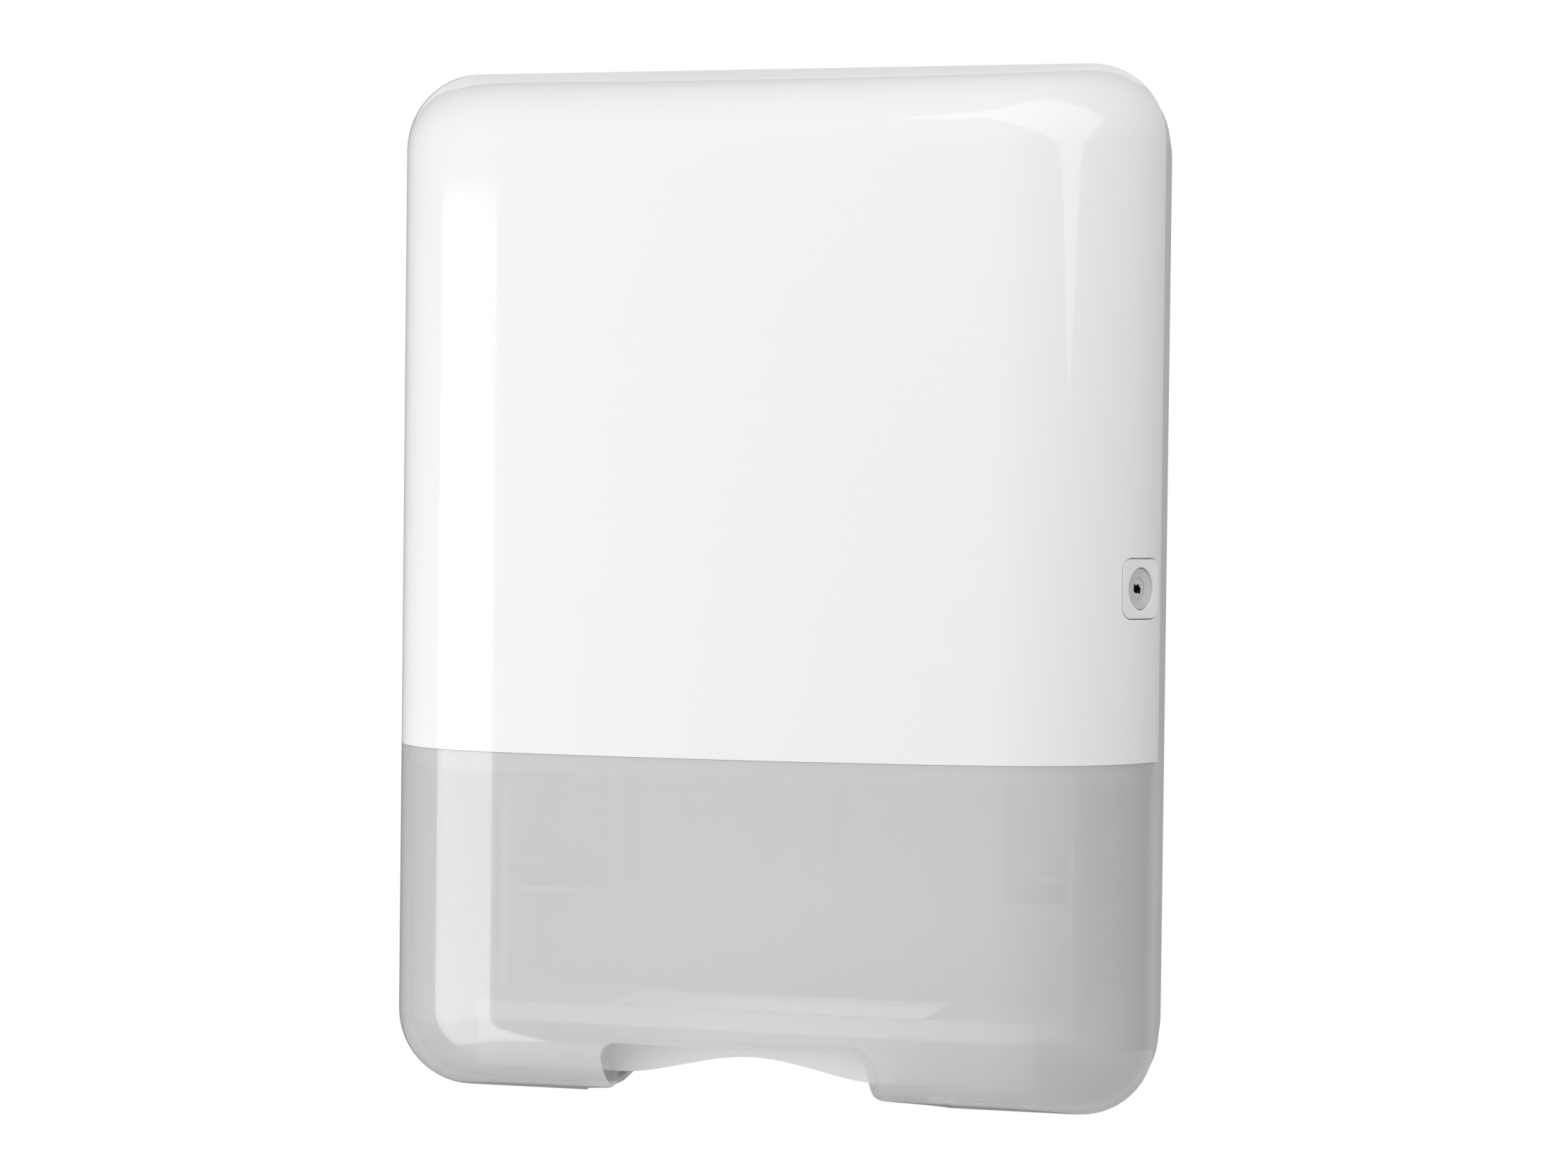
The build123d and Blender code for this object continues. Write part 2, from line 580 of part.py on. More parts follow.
with BuildPart() as rear_housing:
    add(rounded_prism(RIM_X, RIM_HALF_Z, RIM_CORNER_R, RIM_Y, BAND_Y))
    add(rounded_prism(RIM_X, RIM_HALF_Z, RIM_CORNER_R, BAND_Y, 0, HOUSING_TAPER))
    inner_z = RIM_HALF_Z - HOUSING_WALL
    inner_r = RIM_CORNER_R - HOUSING_WALL
    add(rounded_prism(RIM_INNER_X, inner_z, inner_r, RIM_Y, BAND_Y), mode=Mode.SUBTRACT)
    inner_shell = rounded_prism(RIM_INNER_X, inner_z, inner_r, BAND_Y, -HOUSING_WALL, HOUSING_TAPER)
    add(inner_shell, mode=Mode.SUBTRACT)

    # Pad with the middle slot, wall-screw bosses, stiffening ribs and the bosses for the inner pieces
    add(box((-PAD_WIDTH / 2, BOSS_Y, PAD_LOW), (PAD_WIDTH / 2, -HOUSING_WALL / 2, PAD_LOW + PAD_LENGTH)))
    for rib_x in (-RIB_X, RIB_X):
        add(box(
            (rib_x - RIB_WALL / 2, -HOUSING_WALL - RIB_HEIGHT, BOTTOM_Z + RIB_RISE),
            (rib_x + RIB_WALL / 2, -HOUSING_WALL / 2, TOP_Z - RIB_DROP),
        ))
    with BuildSketch(Plane.XZ.offset(HOUSING_WALL / 2)):
        with Locations(GUIDE_SCREWS + TRAY_SCREWS):
            Circle(BOSS_R)
    extrude(amount=-BOSS_Y - HOUSING_WALL / 2)
    with BuildSketch(Plane.XZ.offset(HOUSING_WALL / 2)):
        with Locations((0, WALL_HOLE_MID_Z)):
            with GridLocations(WALL_HOLE_SPACING_X, WALL_HOLE_SPACING_Z, 2, 2):
                Circle(WALL_BOSS_R)
    extrude(amount=HOUSING_WALL / 2 + RIB_HEIGHT)
    with BuildSketch(Plane.XZ.offset(-BOSS_Y)):
        with Locations(GUIDE_SCREWS + TRAY_SCREWS):
            Circle(SCREW_R + SCREW_GAP)
    extrude(amount=-BOSS_DEPTH, mode=Mode.SUBTRACT)
    with BuildSketch(Plane.XZ):
        with Locations((0, WALL_HOLE_MID_Z)):
            with GridLocations(WALL_HOLE_SPACING_X, WALL_HOLE_SPACING_Z, 2, 2):
                Circle(WALL_HOLE_R)
        with Locations((0, SLOT_Z)):
            SlotOverall(SLOT_LENGTH, SLOT_WIDTH, rotation=90)
    extrude(amount=HOUSING_DEPTH / 2, mode=Mode.SUBTRACT)

    # Outlet through the bottom and the lower edge of the back
    outlet = box((-OUTLET_HALF, SEAM_Y, -HEIGHT), (OUTLET_HALF, HOUSING_WALL, OUTLET_TOP))
    add(outlet, mode=Mode.SUBTRACT)

    # Hinge lugs above and below each arm, their pin bores, and the slots that the arms swing through
    for arm_z in ARM_Z.values():
        for side in (-1, 1):
            lug_near = arm_z + side * (ARM_HEIGHT / 2 + LUG_GAP)
            with BuildSketch(Plane.XY.offset(lug_near)):
                with Locations((HINGE_X, HINGE_Y)):
                    Circle(LUG_R)
            extrude(amount=side * LUG_HEIGHT)
            add(box(
                (HOUSING_WALL / 2 - RIM_X, HINGE_Y - LUG_R, lug_near),
                (HINGE_X, HINGE_Y + LUG_R, lug_near + side * LUG_HEIGHT),
            ))
        slot_half = ARM_HEIGHT / 2 + ARM_SLOT_GAP
        slot_low = (-WIDTH / 2, RIM_Y - SEAM_GAP, arm_z - slot_half)
        slot_high = (-RIM_INNER_X, RIM_Y + ARM_SLOT_BACK, arm_z + slot_half)
        add(box(slot_low, slot_high), mode=Mode.SUBTRACT)
        with BuildSketch(Plane.XY.offset(arm_z - ARM_HEIGHT)):
            with Locations((HINGE_X, HINGE_Y)):
                Circle(PIN_R + PIN_SEAT)
        extrude(amount=2 * ARM_HEIGHT, mode=Mode.SUBTRACT)

    # Screw holes of the strike, in the right wall
    for z in STRIKE_SCREWS:
        spot = Plane(origin=(RIM_INNER_X, BAND_Y - STRIKE_SCREW_Y, z), z_dir=(1, 0, 0))
        add(rod(spot, SCREW_R + SCREW_GAP, STRIKE_HOLE_DEPTH), mode=Mode.SUBTRACT)
rear_housing.part.label = "rear_housing"
export_step(rear_housing.part, "parts/rear_housing.step")

# Towel tray: a floor with the outlet, a front wall with the arched finger lip, and a screwed rear tab
with BuildPart() as towel_tray:
    with BuildSketch(Plane.XZ.offset(-TRAY_FRONT_Y)):
        with BuildLine():
            Polyline(
                (-LIP_HALF, TRAY_BOTTOM), (-TRAY_HALF, TRAY_BOTTOM), (-TRAY_HALF, TRAY_TOP),
                (TRAY_HALF, TRAY_TOP), (TRAY_HALF, TRAY_BOTTOM), (LIP_HALF, TRAY_BOTTOM),
            )
            Spline(
                (-LIP_HALF, TRAY_BOTTOM), (-LIP_SHOULDER_X, LIP_SHOULDER_Z), (0, LIP_PEAK),
                (LIP_SHOULDER_X, LIP_SHOULDER_Z), (LIP_HALF, TRAY_BOTTOM), tangents=[(1, 0), (1, 0)],
            )
        make_face()
    extrude(amount=-TRAY_WALL)
    add(box((-TRAY_HALF, TRAY_FRONT_Y, TRAY_FLOOR_TOP - TRAY_WALL), (TRAY_HALF, BOSS_Y, TRAY_FLOOR_TOP)))
    add(box((-TRAY_HALF, BOSS_Y - FLANGE_WALL, TRAY_TAB_LOW), (TRAY_HALF, BOSS_Y, TRAY_FLOOR_TOP)))
    outlet_low = (-OUTLET_HALF, TRAY_FRONT_Y + TRAY_OUTLET_FRONT, TRAY_FLOOR_TOP - 2 * TRAY_WALL)
    add(box(outlet_low, (OUTLET_HALF, TRAY_OUTLET_BACK, TRAY_TOP)), mode=Mode.SUBTRACT)
    with BuildSketch(Plane.XZ):
        with Locations(TRAY_SCREWS):
            Circle(SCREW_R + SCREW_GAP)
    extrude(amount=TRAY_REACH, mode=Mode.SUBTRACT)
towel_tray.part.label = "towel_tray"
export_step(towel_tray.part, "parts/towel_tray.step")

# Side guides: each has a wall beside the stack, a screwed flange with a bead, a ledge and a finger
GUIDE_LOW = TRAY_FLOOR_TOP + GUIDE_LIFT
FLANGE_Y = BOSS_Y - FLANGE_WALL
LEDGE_Y = BOSS_Y - LEDGE_DEPTH
FINGER_Y = LEDGE_Y + FINGER_DEPTH
GUIDE_BLOCKS = {
    "wall": ((GUIDE_INNER, BOSS_Y - GUIDE_DEPTH, GUIDE_LOW), (GUIDE_OUTER, BOSS_Y, GUIDE_HIGH)),
    "flange": ((FLANGE_EDGE, FLANGE_Y, FLANGE_LOW), (GUIDE_OUTER, BOSS_Y, GUIDE_HIGH)),
    "bead": ((FLANGE_EDGE, FLANGE_Y - BEAD_DEPTH, FLANGE_LOW), (BEAD_EDGE, BOSS_Y, GUIDE_HIGH)),
    "ledge": ((LEDGE_EDGE, LEDGE_Y, FLANGE_LOW), (GUIDE_OUTER, BOSS_Y, FLANGE_LOW + LEDGE_WALL)),
    "finger": ((FINGER_EDGE, LEDGE_Y, FINGER_Z), (GUIDE_OUTER, FINGER_Y, FINGER_Z + FINGER_WALL)),
}
for name, side in {"side_guide_left": -1, "side_guide_right": 1}.items():
    with BuildPart() as guide:
        for low, high in GUIDE_BLOCKS.values():
            add(box((side * low[0], low[1], low[2]), (side * high[0], high[1], high[2])))
        with BuildSketch(Plane.XZ):
            with Locations([(side * GUIDE_SCREW_X, z) for z in GUIDE_SCREW_Z]):
                Circle(SCREW_R + SCREW_GAP)
        extrude(amount=TRAY_REACH, mode=Mode.SUBTRACT)
    guide.part.label = name
    export_step(guide.part, f"parts/{name}.step")

# Screws of the guides and of the tray, driven from the front into the housing's bosses
for name, spots in {"guide_screws": GUIDE_SCREWS, "tray_screws": TRAY_SCREWS}.items():
    with BuildPart() as screws:
        for x, z in spots:
            under_head = Plane(origin=(x, FLANGE_Y, z), z_dir=(0, -1, 0))
            add(screw(under_head, FLANGE_WALL + BOSS_DEPTH - SCREW_END_GAP))
    screws.part.label = name
    export_step(screws.part, f"parts/{name}.step")

# Hinge arms: a knuckle on the pin, a bar through the housing's slot, and a foot on the cover's shelf
foot_spots = [(HINGE_X + x, HINGE_Y - y) for x, y in FOOT_SCREWS]
for place, arm_z in ARM_Z.items():
    low_z = arm_z - ARM_HEIGHT / 2
    with BuildPart() as arm:
        foot_y = HINGE_Y - FOOT_FRONT
        foot_high = (HINGE_X + FOOT_SIDE, HINGE_Y - FOOT_BACK, low_z + ARM_HEIGHT)
        add(box((HINGE_X - HINGE_IN, foot_y, low_z), foot_high))
        add(box((HINGE_X - ARM_BAR / 2, foot_y, low_z), (HINGE_X + ARM_BAR / 2, HINGE_Y, low_z + ARM_HEIGHT)))
        extrude(plan(low_z, COVER_WALL + ARM_WALL_GAP), amount=ARM_HEIGHT, mode=Mode.INTERSECT)
        with BuildSketch(Plane.XY.offset(low_z)):
            with Locations((HINGE_X, HINGE_Y)):
                Circle(KNUCKLE_R)
        extrude(amount=ARM_HEIGHT)
        with BuildSketch(Plane.XY.offset(low_z)):
            with Locations((HINGE_X, HINGE_Y)):
                Circle(PIN_R + PIN_RUN)
            with Locations(foot_spots):
                Circle(SCREW_R + SCREW_GAP)
        extrude(amount=ARM_HEIGHT, mode=Mode.SUBTRACT)
    arm.part.label = f"hinge_arm_{place}"
    export_step(arm.part, f"parts/hinge_arm_{place}.step")

    pin_low = low_z - LUG_GAP - LUG_HEIGHT
    pin_high = low_z + ARM_HEIGHT + LUG_GAP + LUG_HEIGHT
    with BuildPart() as pin:
        add(rod(Plane(origin=(HINGE_X, HINGE_Y, pin_low)), PIN_R, pin_high - pin_low))
        add(rod(Plane(origin=(HINGE_X, HINGE_Y, pin_high)), PIN_HEAD_R, PIN_HEAD))
        fillet(pin.edges().group_by(Axis.Z)[-1], PIN_HEAD / 2)
        chamfer(pin.edges().group_by(Axis.Z)[0], PIN_R / 4)
    pin.part.label = f"hinge_pin_{place}"
    export_step(pin.part, f"parts/hinge_pin_{place}.step")

with BuildPart() as hinge_arm_screws:
    for arm_z in ARM_Z.values():
        for x, y in foot_spots:
            add(screw(Plane(origin=(x, y, arm_z + ARM_HEIGHT / 2)), ARM_HEIGHT + SHELF_THICK - SCREW_END_GAP))
hinge_arm_screws.part.label = "hinge_arm_screws"
export_step(hinge_arm_screws.part, "parts/hinge_arm_screws.step")

# Lock surround: a flush rounded square on a round barrel with a floor that the button's stem runs through
with BuildPart() as lock_surround:
    with BuildSketch(lock_depth(BEZEL_SEAT)):
        RectangleRounded(BEZEL, BEZEL, BEZEL_CORNER_R)
    extrude(amount=BEZEL_SEAT - BEZEL_FACE)
    with BuildSketch(lock_depth(BARREL_END)):
        Circle(BARREL_R)
    extrude(amount=BARREL_END - BEZEL_SEAT)
    with BuildSketch(lock_depth(BARREL_END - BARREL_FLOOR)):
        Circle(BUTTON_R + BUTTON_RUN)
    extrude(amount=BARREL_END, mode=Mode.SUBTRACT)
    with BuildSketch(lock_depth(BARREL_END)):
        Circle(STEM_R + STEM_RUN)
    extrude(amount=BARREL_FLOOR, mode=Mode.SUBTRACT)
    fillet(lock_surround.edges().group_by(Axis(LOCK_MIDDLE, LOCK_OUT))[-1], BEZEL_EDGE_R)
lock_surround.part.label = "lock_surround"
export_step(lock_surround.part, "parts/lock_surround.step")

# Lock nut: a ring on the barrel, tight against the cover's pad, with two spanner notches
with BuildPart() as lock_nut:
    with BuildSketch(lock_depth(LOCK_PAD_BACK)):
        Circle(NUT_R)
        Circle(BARREL_R + SCREW_GAP, mode=Mode.SUBTRACT)
        with Locations((0, NUT_R), (0, -NUT_R)):
            Rectangle(NUT_THICK, NUT_THICK / 2, mode=Mode.SUBTRACT)
    extrude(amount=-NUT_THICK)
lock_nut.part.label = "lock_nut"
export_step(lock_nut.part, "parts/lock_nut.step")

# Button: a dished round head that slides in the barrel and holds the key core
DISH_R = (BUTTON_R ** 2 + BUTTON_DISH ** 2) / (2 * BUTTON_DISH)
with BuildPart() as lock_button:
    with BuildSketch(lock_depth(BUTTON_BACK)):
        Circle(BUTTON_R)
    extrude(amount=BUTTON_BACK - BUTTON_FACE)
    add(ball(BUTTON_FACE + BUTTON_DISH - DISH_R, DISH_R), mode=Mode.SUBTRACT)
    with BuildSketch(lock_depth(CORE_STEP)):
        Circle(CORE_R + CORE_RUN)
    extrude(amount=CORE_STEP, mode=Mode.SUBTRACT)
    with BuildSketch(lock_depth(CORE_STEP)):
        Circle(CORE_FLANGE_R + CORE_RUN)
    extrude(amount=-BUTTON_BACK, mode=Mode.SUBTRACT)
    with BuildSketch(lock_depth(CORE_STEP + CORE_FLANGE + CORE_RUN)):
        Circle(DISC_R + DISC_SEAT)
    extrude(amount=-BUTTON_BACK, mode=Mode.SUBTRACT)
lock_button.part.label = "lock_button"
export_step(lock_button.part, "parts/lock_button.step")

# Key core: a cylinder with a stepped key slot, kept in the button by its flange
with BuildPart() as key_core:
    with BuildSketch(lock_depth(CORE_STEP)):
        Circle(CORE_R)
    extrude(amount=CORE_STEP - CORE_FACE)
    with BuildSketch(lock_depth(CORE_STEP + CORE_FLANGE)):
        Circle(CORE_FLANGE_R)
    extrude(amount=CORE_FLANGE)
    with BuildSketch(lock_depth(CORE_FACE)):
        Polygon(*KEY_SLOT, align=None)
    extrude(amount=-KEY_SLOT_DEPTH, mode=Mode.SUBTRACT)
key_core.part.label = "key_core"
export_step(key_core.part, "parts/key_core.step")

# Button stem: a disc pressed into the button's back, and a stem with a groove and a domed end
RING_DEPTH = BARREL_END + RING_GAP
with BuildPart() as stem_corner:
    add(rod(lock_depth(STEM_END - STEM_DOME_HEIGHT), STEM_DOME_R, -STEM_DOME_R))
    add(ball(STEM_END - STEM_DOME_R, STEM_DOME_R), mode=Mode.SUBTRACT)

with BuildPart() as button_stem:
    with BuildSketch(lock_depth(BUTTON_BACK)):
        Circle(DISC_R)
    extrude(amount=BUTTON_BACK - CORE_STEP - CORE_FLANGE - 2 * CORE_RUN)
    with BuildSketch(lock_depth(BUTTON_BACK)):
        Circle(STEM_R)
    extrude(amount=BUTTON_BACK - STEM_END)
    add(stem_corner.part, mode=Mode.SUBTRACT)
    with BuildSketch(lock_depth(RING_DEPTH)):
        Circle(BUTTON_R)
        Circle(STEM_R - GROOVE, mode=Mode.SUBTRACT)
    extrude(amount=-RING_THICK - RING_PLAY, mode=Mode.SUBTRACT)
button_stem.part.label = "button_stem"
export_step(button_stem.part, "parts/button_stem.step")

# Retaining ring: an open clip in the stem's groove that stops the button from falling out
with BuildPart() as retaining_ring:
    with BuildSketch(lock_depth(RING_DEPTH)):
        Circle(RING_R)
        Circle(STEM_R - GROOVE + SCREW_GAP, mode=Mode.SUBTRACT)
        with Locations((0, RING_R / 2)):
            Rectangle(RING_OPENING, RING_R, mode=Mode.SUBTRACT)
    extrude(amount=-RING_THICK)
retaining_ring.part.label = "retaining_ring"
export_step(retaining_ring.part, "parts/retaining_ring.step")

# Button spring: a coil round the stem, between the barrel's floor and the button's back
spring_length = BARREL_END - BARREL_FLOOR - BUTTON_BACK - SPRING_WIRE - 2 * SPRING_END_GAP
spring_foot = lock_depth(BARREL_END - BARREL_FLOOR - SPRING_WIRE / 2 - SPRING_END_GAP)
with BuildPart() as button_spring:
    add(spring_coil(SPRING_R, spring_length / SPRING_TURNS, SPRING_TURNS).moved(spring_foot.location))
button_spring.part.label = "button_spring"
export_step(button_spring.part, "parts/button_spring.step")

# Latch lever: a hub, a bar with the pad that the stem pushes, an ear for the spring and a ramped tooth
pad_depth = STEM_END + LEVER_GAP + LEVER_BAR / 2
pad_middle = lock_point(0, pad_depth)
knee = lock_point(0, pad_depth + KNEE_SET)
tooth_front = CATCH_Y + CATCH_GAP
tooth_back = tooth_front + TOOTH_LENGTH
tooth_tip = CATCH_TIP_X + TOOTH_REACH
tooth_root = tooth_tip - TOOTH_ROOT
with BuildPart() as latch_lever:
    with BuildSketch(Plane.XY.offset(LEVER_LOW)):
        add(bar(PIVOT, knee, LEVER_BAR))
        add(bar(knee, (tooth_root + LEVER_BAR / 2, tooth_front + LEVER_BAR / 2), LEVER_BAR))
        with Locations(Location((pad_middle[0], pad_middle[1], 0), (0, 0, 90 - LOCK_ANGLE))):
            Rectangle(LEVER_PAD, LEVER_BAR)
        Polygon(
            (tooth_root, tooth_front), (tooth_tip, tooth_front), (tooth_tip, tooth_front + TOOTH_TIP_LENGTH),
            (tooth_tip - TOOTH_RAMP, tooth_back), (tooth_root, tooth_back), align=None,
        )
        with Locations(PIVOT):
            Circle(HUB_R)
    extrude(amount=LEVER_HEIGHT)
    with BuildSketch(Plane.XY.offset(LEVER_LOW)):
        with Locations(PIVOT):
            Circle(HUB_R)
    extrude(amount=LEVER_HEIGHT + HUB_RISE)
    add(box(
        (LATCH_LEG_X, PIVOT[1] + EAR_START, LEVER_LOW),
        (PIVOT[0], PIVOT[1] + LATCH_LEG, LEVER_HIGH + HUB_RISE / 2),
    ))
    with BuildSketch(Plane.XY.offset(LEVER_LOW)):
        with Locations(PIVOT):
            Circle(LATCH_PIN_R + PIN_RUN)
    extrude(amount=LEVER_HEIGHT + HUB_RISE, mode=Mode.SUBTRACT)
latch_lever.part.label = "latch_lever"
export_step(latch_lever.part, "parts/latch_lever.step")

# Latch pin: through both lugs and the hub, with a head on the upper lug
with BuildPart() as latch_pin:
    add(rod(Plane(origin=(PIVOT[0], PIVOT[1], LATCH_LUG_LOW)), LATCH_PIN_R, LATCH_LUG_HIGH - LATCH_LUG_LOW))
    add(rod(Plane(origin=(PIVOT[0], PIVOT[1], LATCH_LUG_HIGH)), LATCH_PIN_HEAD_R, LATCH_PIN_HEAD))
    fillet(latch_pin.edges().group_by(Axis.Z)[-1], LATCH_PIN_HEAD / 2)
latch_pin.part.label = "latch_pin"
export_step(latch_pin.part, "parts/latch_pin.step")

# Latch spring: a coil round the hub, one leg along the lever and one on the cover's stop
coil_low = LEVER_HIGH + SPRING_WIRE / 2 + SPRING_STOP_GAP
with BuildPart() as latch_spring:
    add(spring_coil(LATCH_SPRING_R, LATCH_SPRING_PITCH, LATCH_SPRING_TURNS, LATCH_LEG, STOP_LEG).moved(
        Location((PIVOT[0], PIVOT[1], coil_low), (0, 0, 180))
    ))
latch_spring.part.label = "latch_spring"
export_step(latch_spring.part, "parts/latch_spring.step")

# Strike: a plate on the housing's right wall with the ledge that the tooth hooks behind
catch_front = CATCH_Y - CATCH_THICK
with BuildPart() as latch_strike:
    plate_low = (STRIKE_X, catch_front - STRIKE_WALL, LOCK_Z - STRIKE_HALF)
    add(box(plate_low, (RIM_INNER_X, BAND_Y, LOCK_Z + STRIKE_HALF)))
    add(box((CATCH_TIP_X, catch_front, LOCK_Z - CATCH_HALF), (RIM_INNER_X, CATCH_Y, LOCK_Z + CATCH_HALF)))
    chamfer(latch_strike.edges().filter_by(Axis.Z).sort_by(Axis.X)[0:2].sort_by(Axis.Y)[0], CATCH_CHAMFER)
    for z in STRIKE_SCREWS:
        spot = Plane(origin=(STRIKE_X, BAND_Y - STRIKE_SCREW_Y, z), z_dir=(1, 0, 0))
        add(rod(spot, SCREW_R + SCREW_GAP, STRIKE_WALL), mode=Mode.SUBTRACT)
latch_strike.part.label = "latch_strike"
export_step(latch_strike.part, "parts/latch_strike.step")

with BuildPart() as strike_screws:
    for z in STRIKE_SCREWS:
        spot = Plane(origin=(STRIKE_X, BAND_Y - STRIKE_SCREW_Y, z), z_dir=(-1, 0, 0))
        add(screw(spot, STRIKE_WALL + HOUSING_WALL - SCREW_END_GAP))
strike_screws.part.label = "strike_screws"
export_step(strike_screws.part, "parts/strike_screws.step")
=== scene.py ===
from math import acos, atan2, cos, pi, radians, sin, sqrt

import bmesh
import bpy
from mathutils import Matrix, Quaternion, Vector


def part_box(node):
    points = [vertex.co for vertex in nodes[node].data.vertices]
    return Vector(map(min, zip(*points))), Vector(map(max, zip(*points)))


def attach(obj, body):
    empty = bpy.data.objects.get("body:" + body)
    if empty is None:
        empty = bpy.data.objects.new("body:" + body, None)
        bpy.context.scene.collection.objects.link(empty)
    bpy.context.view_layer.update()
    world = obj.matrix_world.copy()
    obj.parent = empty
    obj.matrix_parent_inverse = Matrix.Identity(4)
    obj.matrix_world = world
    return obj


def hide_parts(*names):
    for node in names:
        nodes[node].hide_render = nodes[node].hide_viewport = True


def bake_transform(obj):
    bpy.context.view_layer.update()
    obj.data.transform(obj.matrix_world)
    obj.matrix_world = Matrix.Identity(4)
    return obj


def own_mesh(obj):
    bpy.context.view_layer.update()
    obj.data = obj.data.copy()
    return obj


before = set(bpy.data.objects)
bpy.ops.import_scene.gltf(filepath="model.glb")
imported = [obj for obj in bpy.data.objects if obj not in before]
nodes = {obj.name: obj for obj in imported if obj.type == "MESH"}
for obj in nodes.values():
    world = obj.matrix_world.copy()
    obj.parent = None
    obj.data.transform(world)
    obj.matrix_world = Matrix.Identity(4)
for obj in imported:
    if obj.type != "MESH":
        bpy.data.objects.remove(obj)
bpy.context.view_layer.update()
mm = 0.001

# Form of the cover, which its two shells share: a crowned front, two round shoulders, sloped ends and one
# rolled radius along the top and the bottom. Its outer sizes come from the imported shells.
upper_low, upper_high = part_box("cover_upper")
window_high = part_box("cover_window")[1]
FRONT_Y = upper_low.y
SEAM_Y = upper_high.y
HALF_WIDTH = upper_high.x
HALF_HEIGHT = upper_high.z
PARTING_Z = upper_low.z
CROWN_R = 693 * mm
SHOULDER_R = 74 * mm
END_SLOPE = 0.20
ROLL_R = 33 * mm
WALL = 2.5 * mm
slope_length = sqrt(1 + END_SLOPE ** 2)
crown_y = FRONT_Y + CROWN_R


def shoulder_centre():
    """Where the right shoulder's arc is centred: it meets the rear corner and touches the crown."""
    reach = CROWN_R - SHOULDER_R
    span = sqrt(HALF_WIDTH ** 2 + (crown_y - SEAM_Y) ** 2)
    along = (reach ** 2 - SHOULDER_R ** 2 + span ** 2) / (2 * span)
    side = sqrt(reach ** 2 - along ** 2)
    ex, ey = HALF_WIDTH / span, (SEAM_Y - crown_y) / span
    return along * ex + side * ey, crown_y + along * ey - side * ex


SHOULDER_X, SHOULDER_Y = shoulder_centre()
TOUCH = atan2(crown_y - SHOULDER_Y, SHOULDER_X)


def plan_points(inset, shoulder_steps=40, crown_steps=48):
    """Right half of the plan outline, from the shoulder's rear to the middle: x, y and outward normal."""
    points = []
    for i in range(shoulder_steps + 1):
        a = TOUCH * i / shoulder_steps
        r = SHOULDER_R - inset
        points.append((SHOULDER_X + r * cos(a), SHOULDER_Y - r * sin(a), cos(a), -sin(a)))
    for i in range(1, crown_steps + 1):
        a = TOUCH + (pi / 2 - TOUCH) * i / crown_steps
        r = CROWN_R - inset
        points.append((r * cos(a), crown_y - r * sin(a), cos(a), -sin(a)))
    return points


def section_column(x, y, nx, ny, inset, roll_steps=14, wall_steps=30):
    """Points down the cover at one place of the plan: lid, rolled edge, wall, rolled edge, lid."""
    ball = ROLL_R - inset
    wall_normal = Vector((nx, ny, 0))
    lid_normal = Vector((0, -END_SLOPE, 1)) / slope_length
    centre_y = y - ball * ny
    lid_z = HALF_HEIGHT - inset * slope_length
    centre = Vector((x - ball * nx, centre_y, lid_z - END_SLOPE * (SEAM_Y - centre_y) - ball * slope_length))
    turn = acos(wall_normal.dot(lid_normal))
    upper = [Vector((centre.x, SHOULDER_Y, lid_z - END_SLOPE * (SEAM_Y - SHOULDER_Y)))]
    for i in range(roll_steps + 1):
        t = i / roll_steps
        direction = (lid_normal * sin((1 - t) * turn) + wall_normal * sin(t * turn)) / sin(turn)
        upper.append(centre + direction * ball)
    wall = [Vector((x, y, centre.z * (1 - 2 * i / wall_steps))) for i in range(1, wall_steps)]
    lower = [Vector((p.x, p.y, -p.z)) for p in reversed(upper)]
    return upper + wall + lower


def cut_flat(bm, spot, direction):
    """Cuts away what lies beyond a plane and closes the cut."""
    everything = bm.verts[:] + bm.edges[:] + bm.faces[:]
    cut = bmesh.ops.bisect_plane(
        bm, geom=everything, plane_co=spot, plane_no=direction, clear_outer=True, dist=1e-7
    )
    rim = [e for e in cut["geom_cut"] if isinstance(e, bmesh.types.BMEdge)]
    bmesh.ops.edgeloop_fill(bm, edges=rim)


def new_piece(name, bm):
    """Object with that mesh, its faces pointing outwards."""
    bmesh.ops.recalc_face_normals(bm, faces=bm.faces[:])
    mesh = bpy.data.meshes.new(name)
    bm.to_mesh(mesh)
    bm.free()
    piece = bpy.data.objects.new(name, mesh)
    bpy.context.scene.collection.objects.link(piece)
    return piece


def cover_form(inset, rear_y, low_z=None, high_z=None):
    """Solid inside the cover's surface moved in by inset, from rear_y forwards and between two heights."""
    half = plan_points(inset)
    outline = [(-x, y, -nx, ny) for x, y, nx, ny in half] + half[-2::-1]
    columns = [section_column(*spot, inset) for spot in outline]
    bm = bmesh.new()
    grid = [[bm.verts.new(p) for p in column] for column in columns]
    for left, right in zip(grid, grid[1:]):
        for i in range(len(left) - 1):
            bm.faces.new((left[i], left[i + 1], right[i + 1], right[i]))
    bmesh.ops.remove_doubles(bm, verts=bm.verts[:], dist=1e-7)
    cut_flat(bm, (0, rear_y, 0), (0, 1, 0))
    if low_z is not None:
        cut_flat(bm, (0, 0, low_z), (0, 0, -1))
    if high_z is not None:
        cut_flat(bm, (0, 0, high_z), (0, 0, 1))
    return new_piece("form", bm)


def combine(piece, other, operation):
    """Exact union, difference or intersection with another piece, which is used up."""
    step = piece.modifiers.new(operation.lower(), "BOOLEAN")
    step.operation = operation
    step.object = other
    step.solver = "EXACT"
    bake(piece)
    bpy.data.objects.remove(other)
    return piece


def bake(piece):
    """Puts the result of the piece's modifiers into its mesh and removes them."""
    ready = piece.evaluated_get(bpy.context.evaluated_depsgraph_get())
    mesh = bpy.data.meshes.new_from_object(ready)
    piece.modifiers.clear()
    piece.data = mesh
    return piece


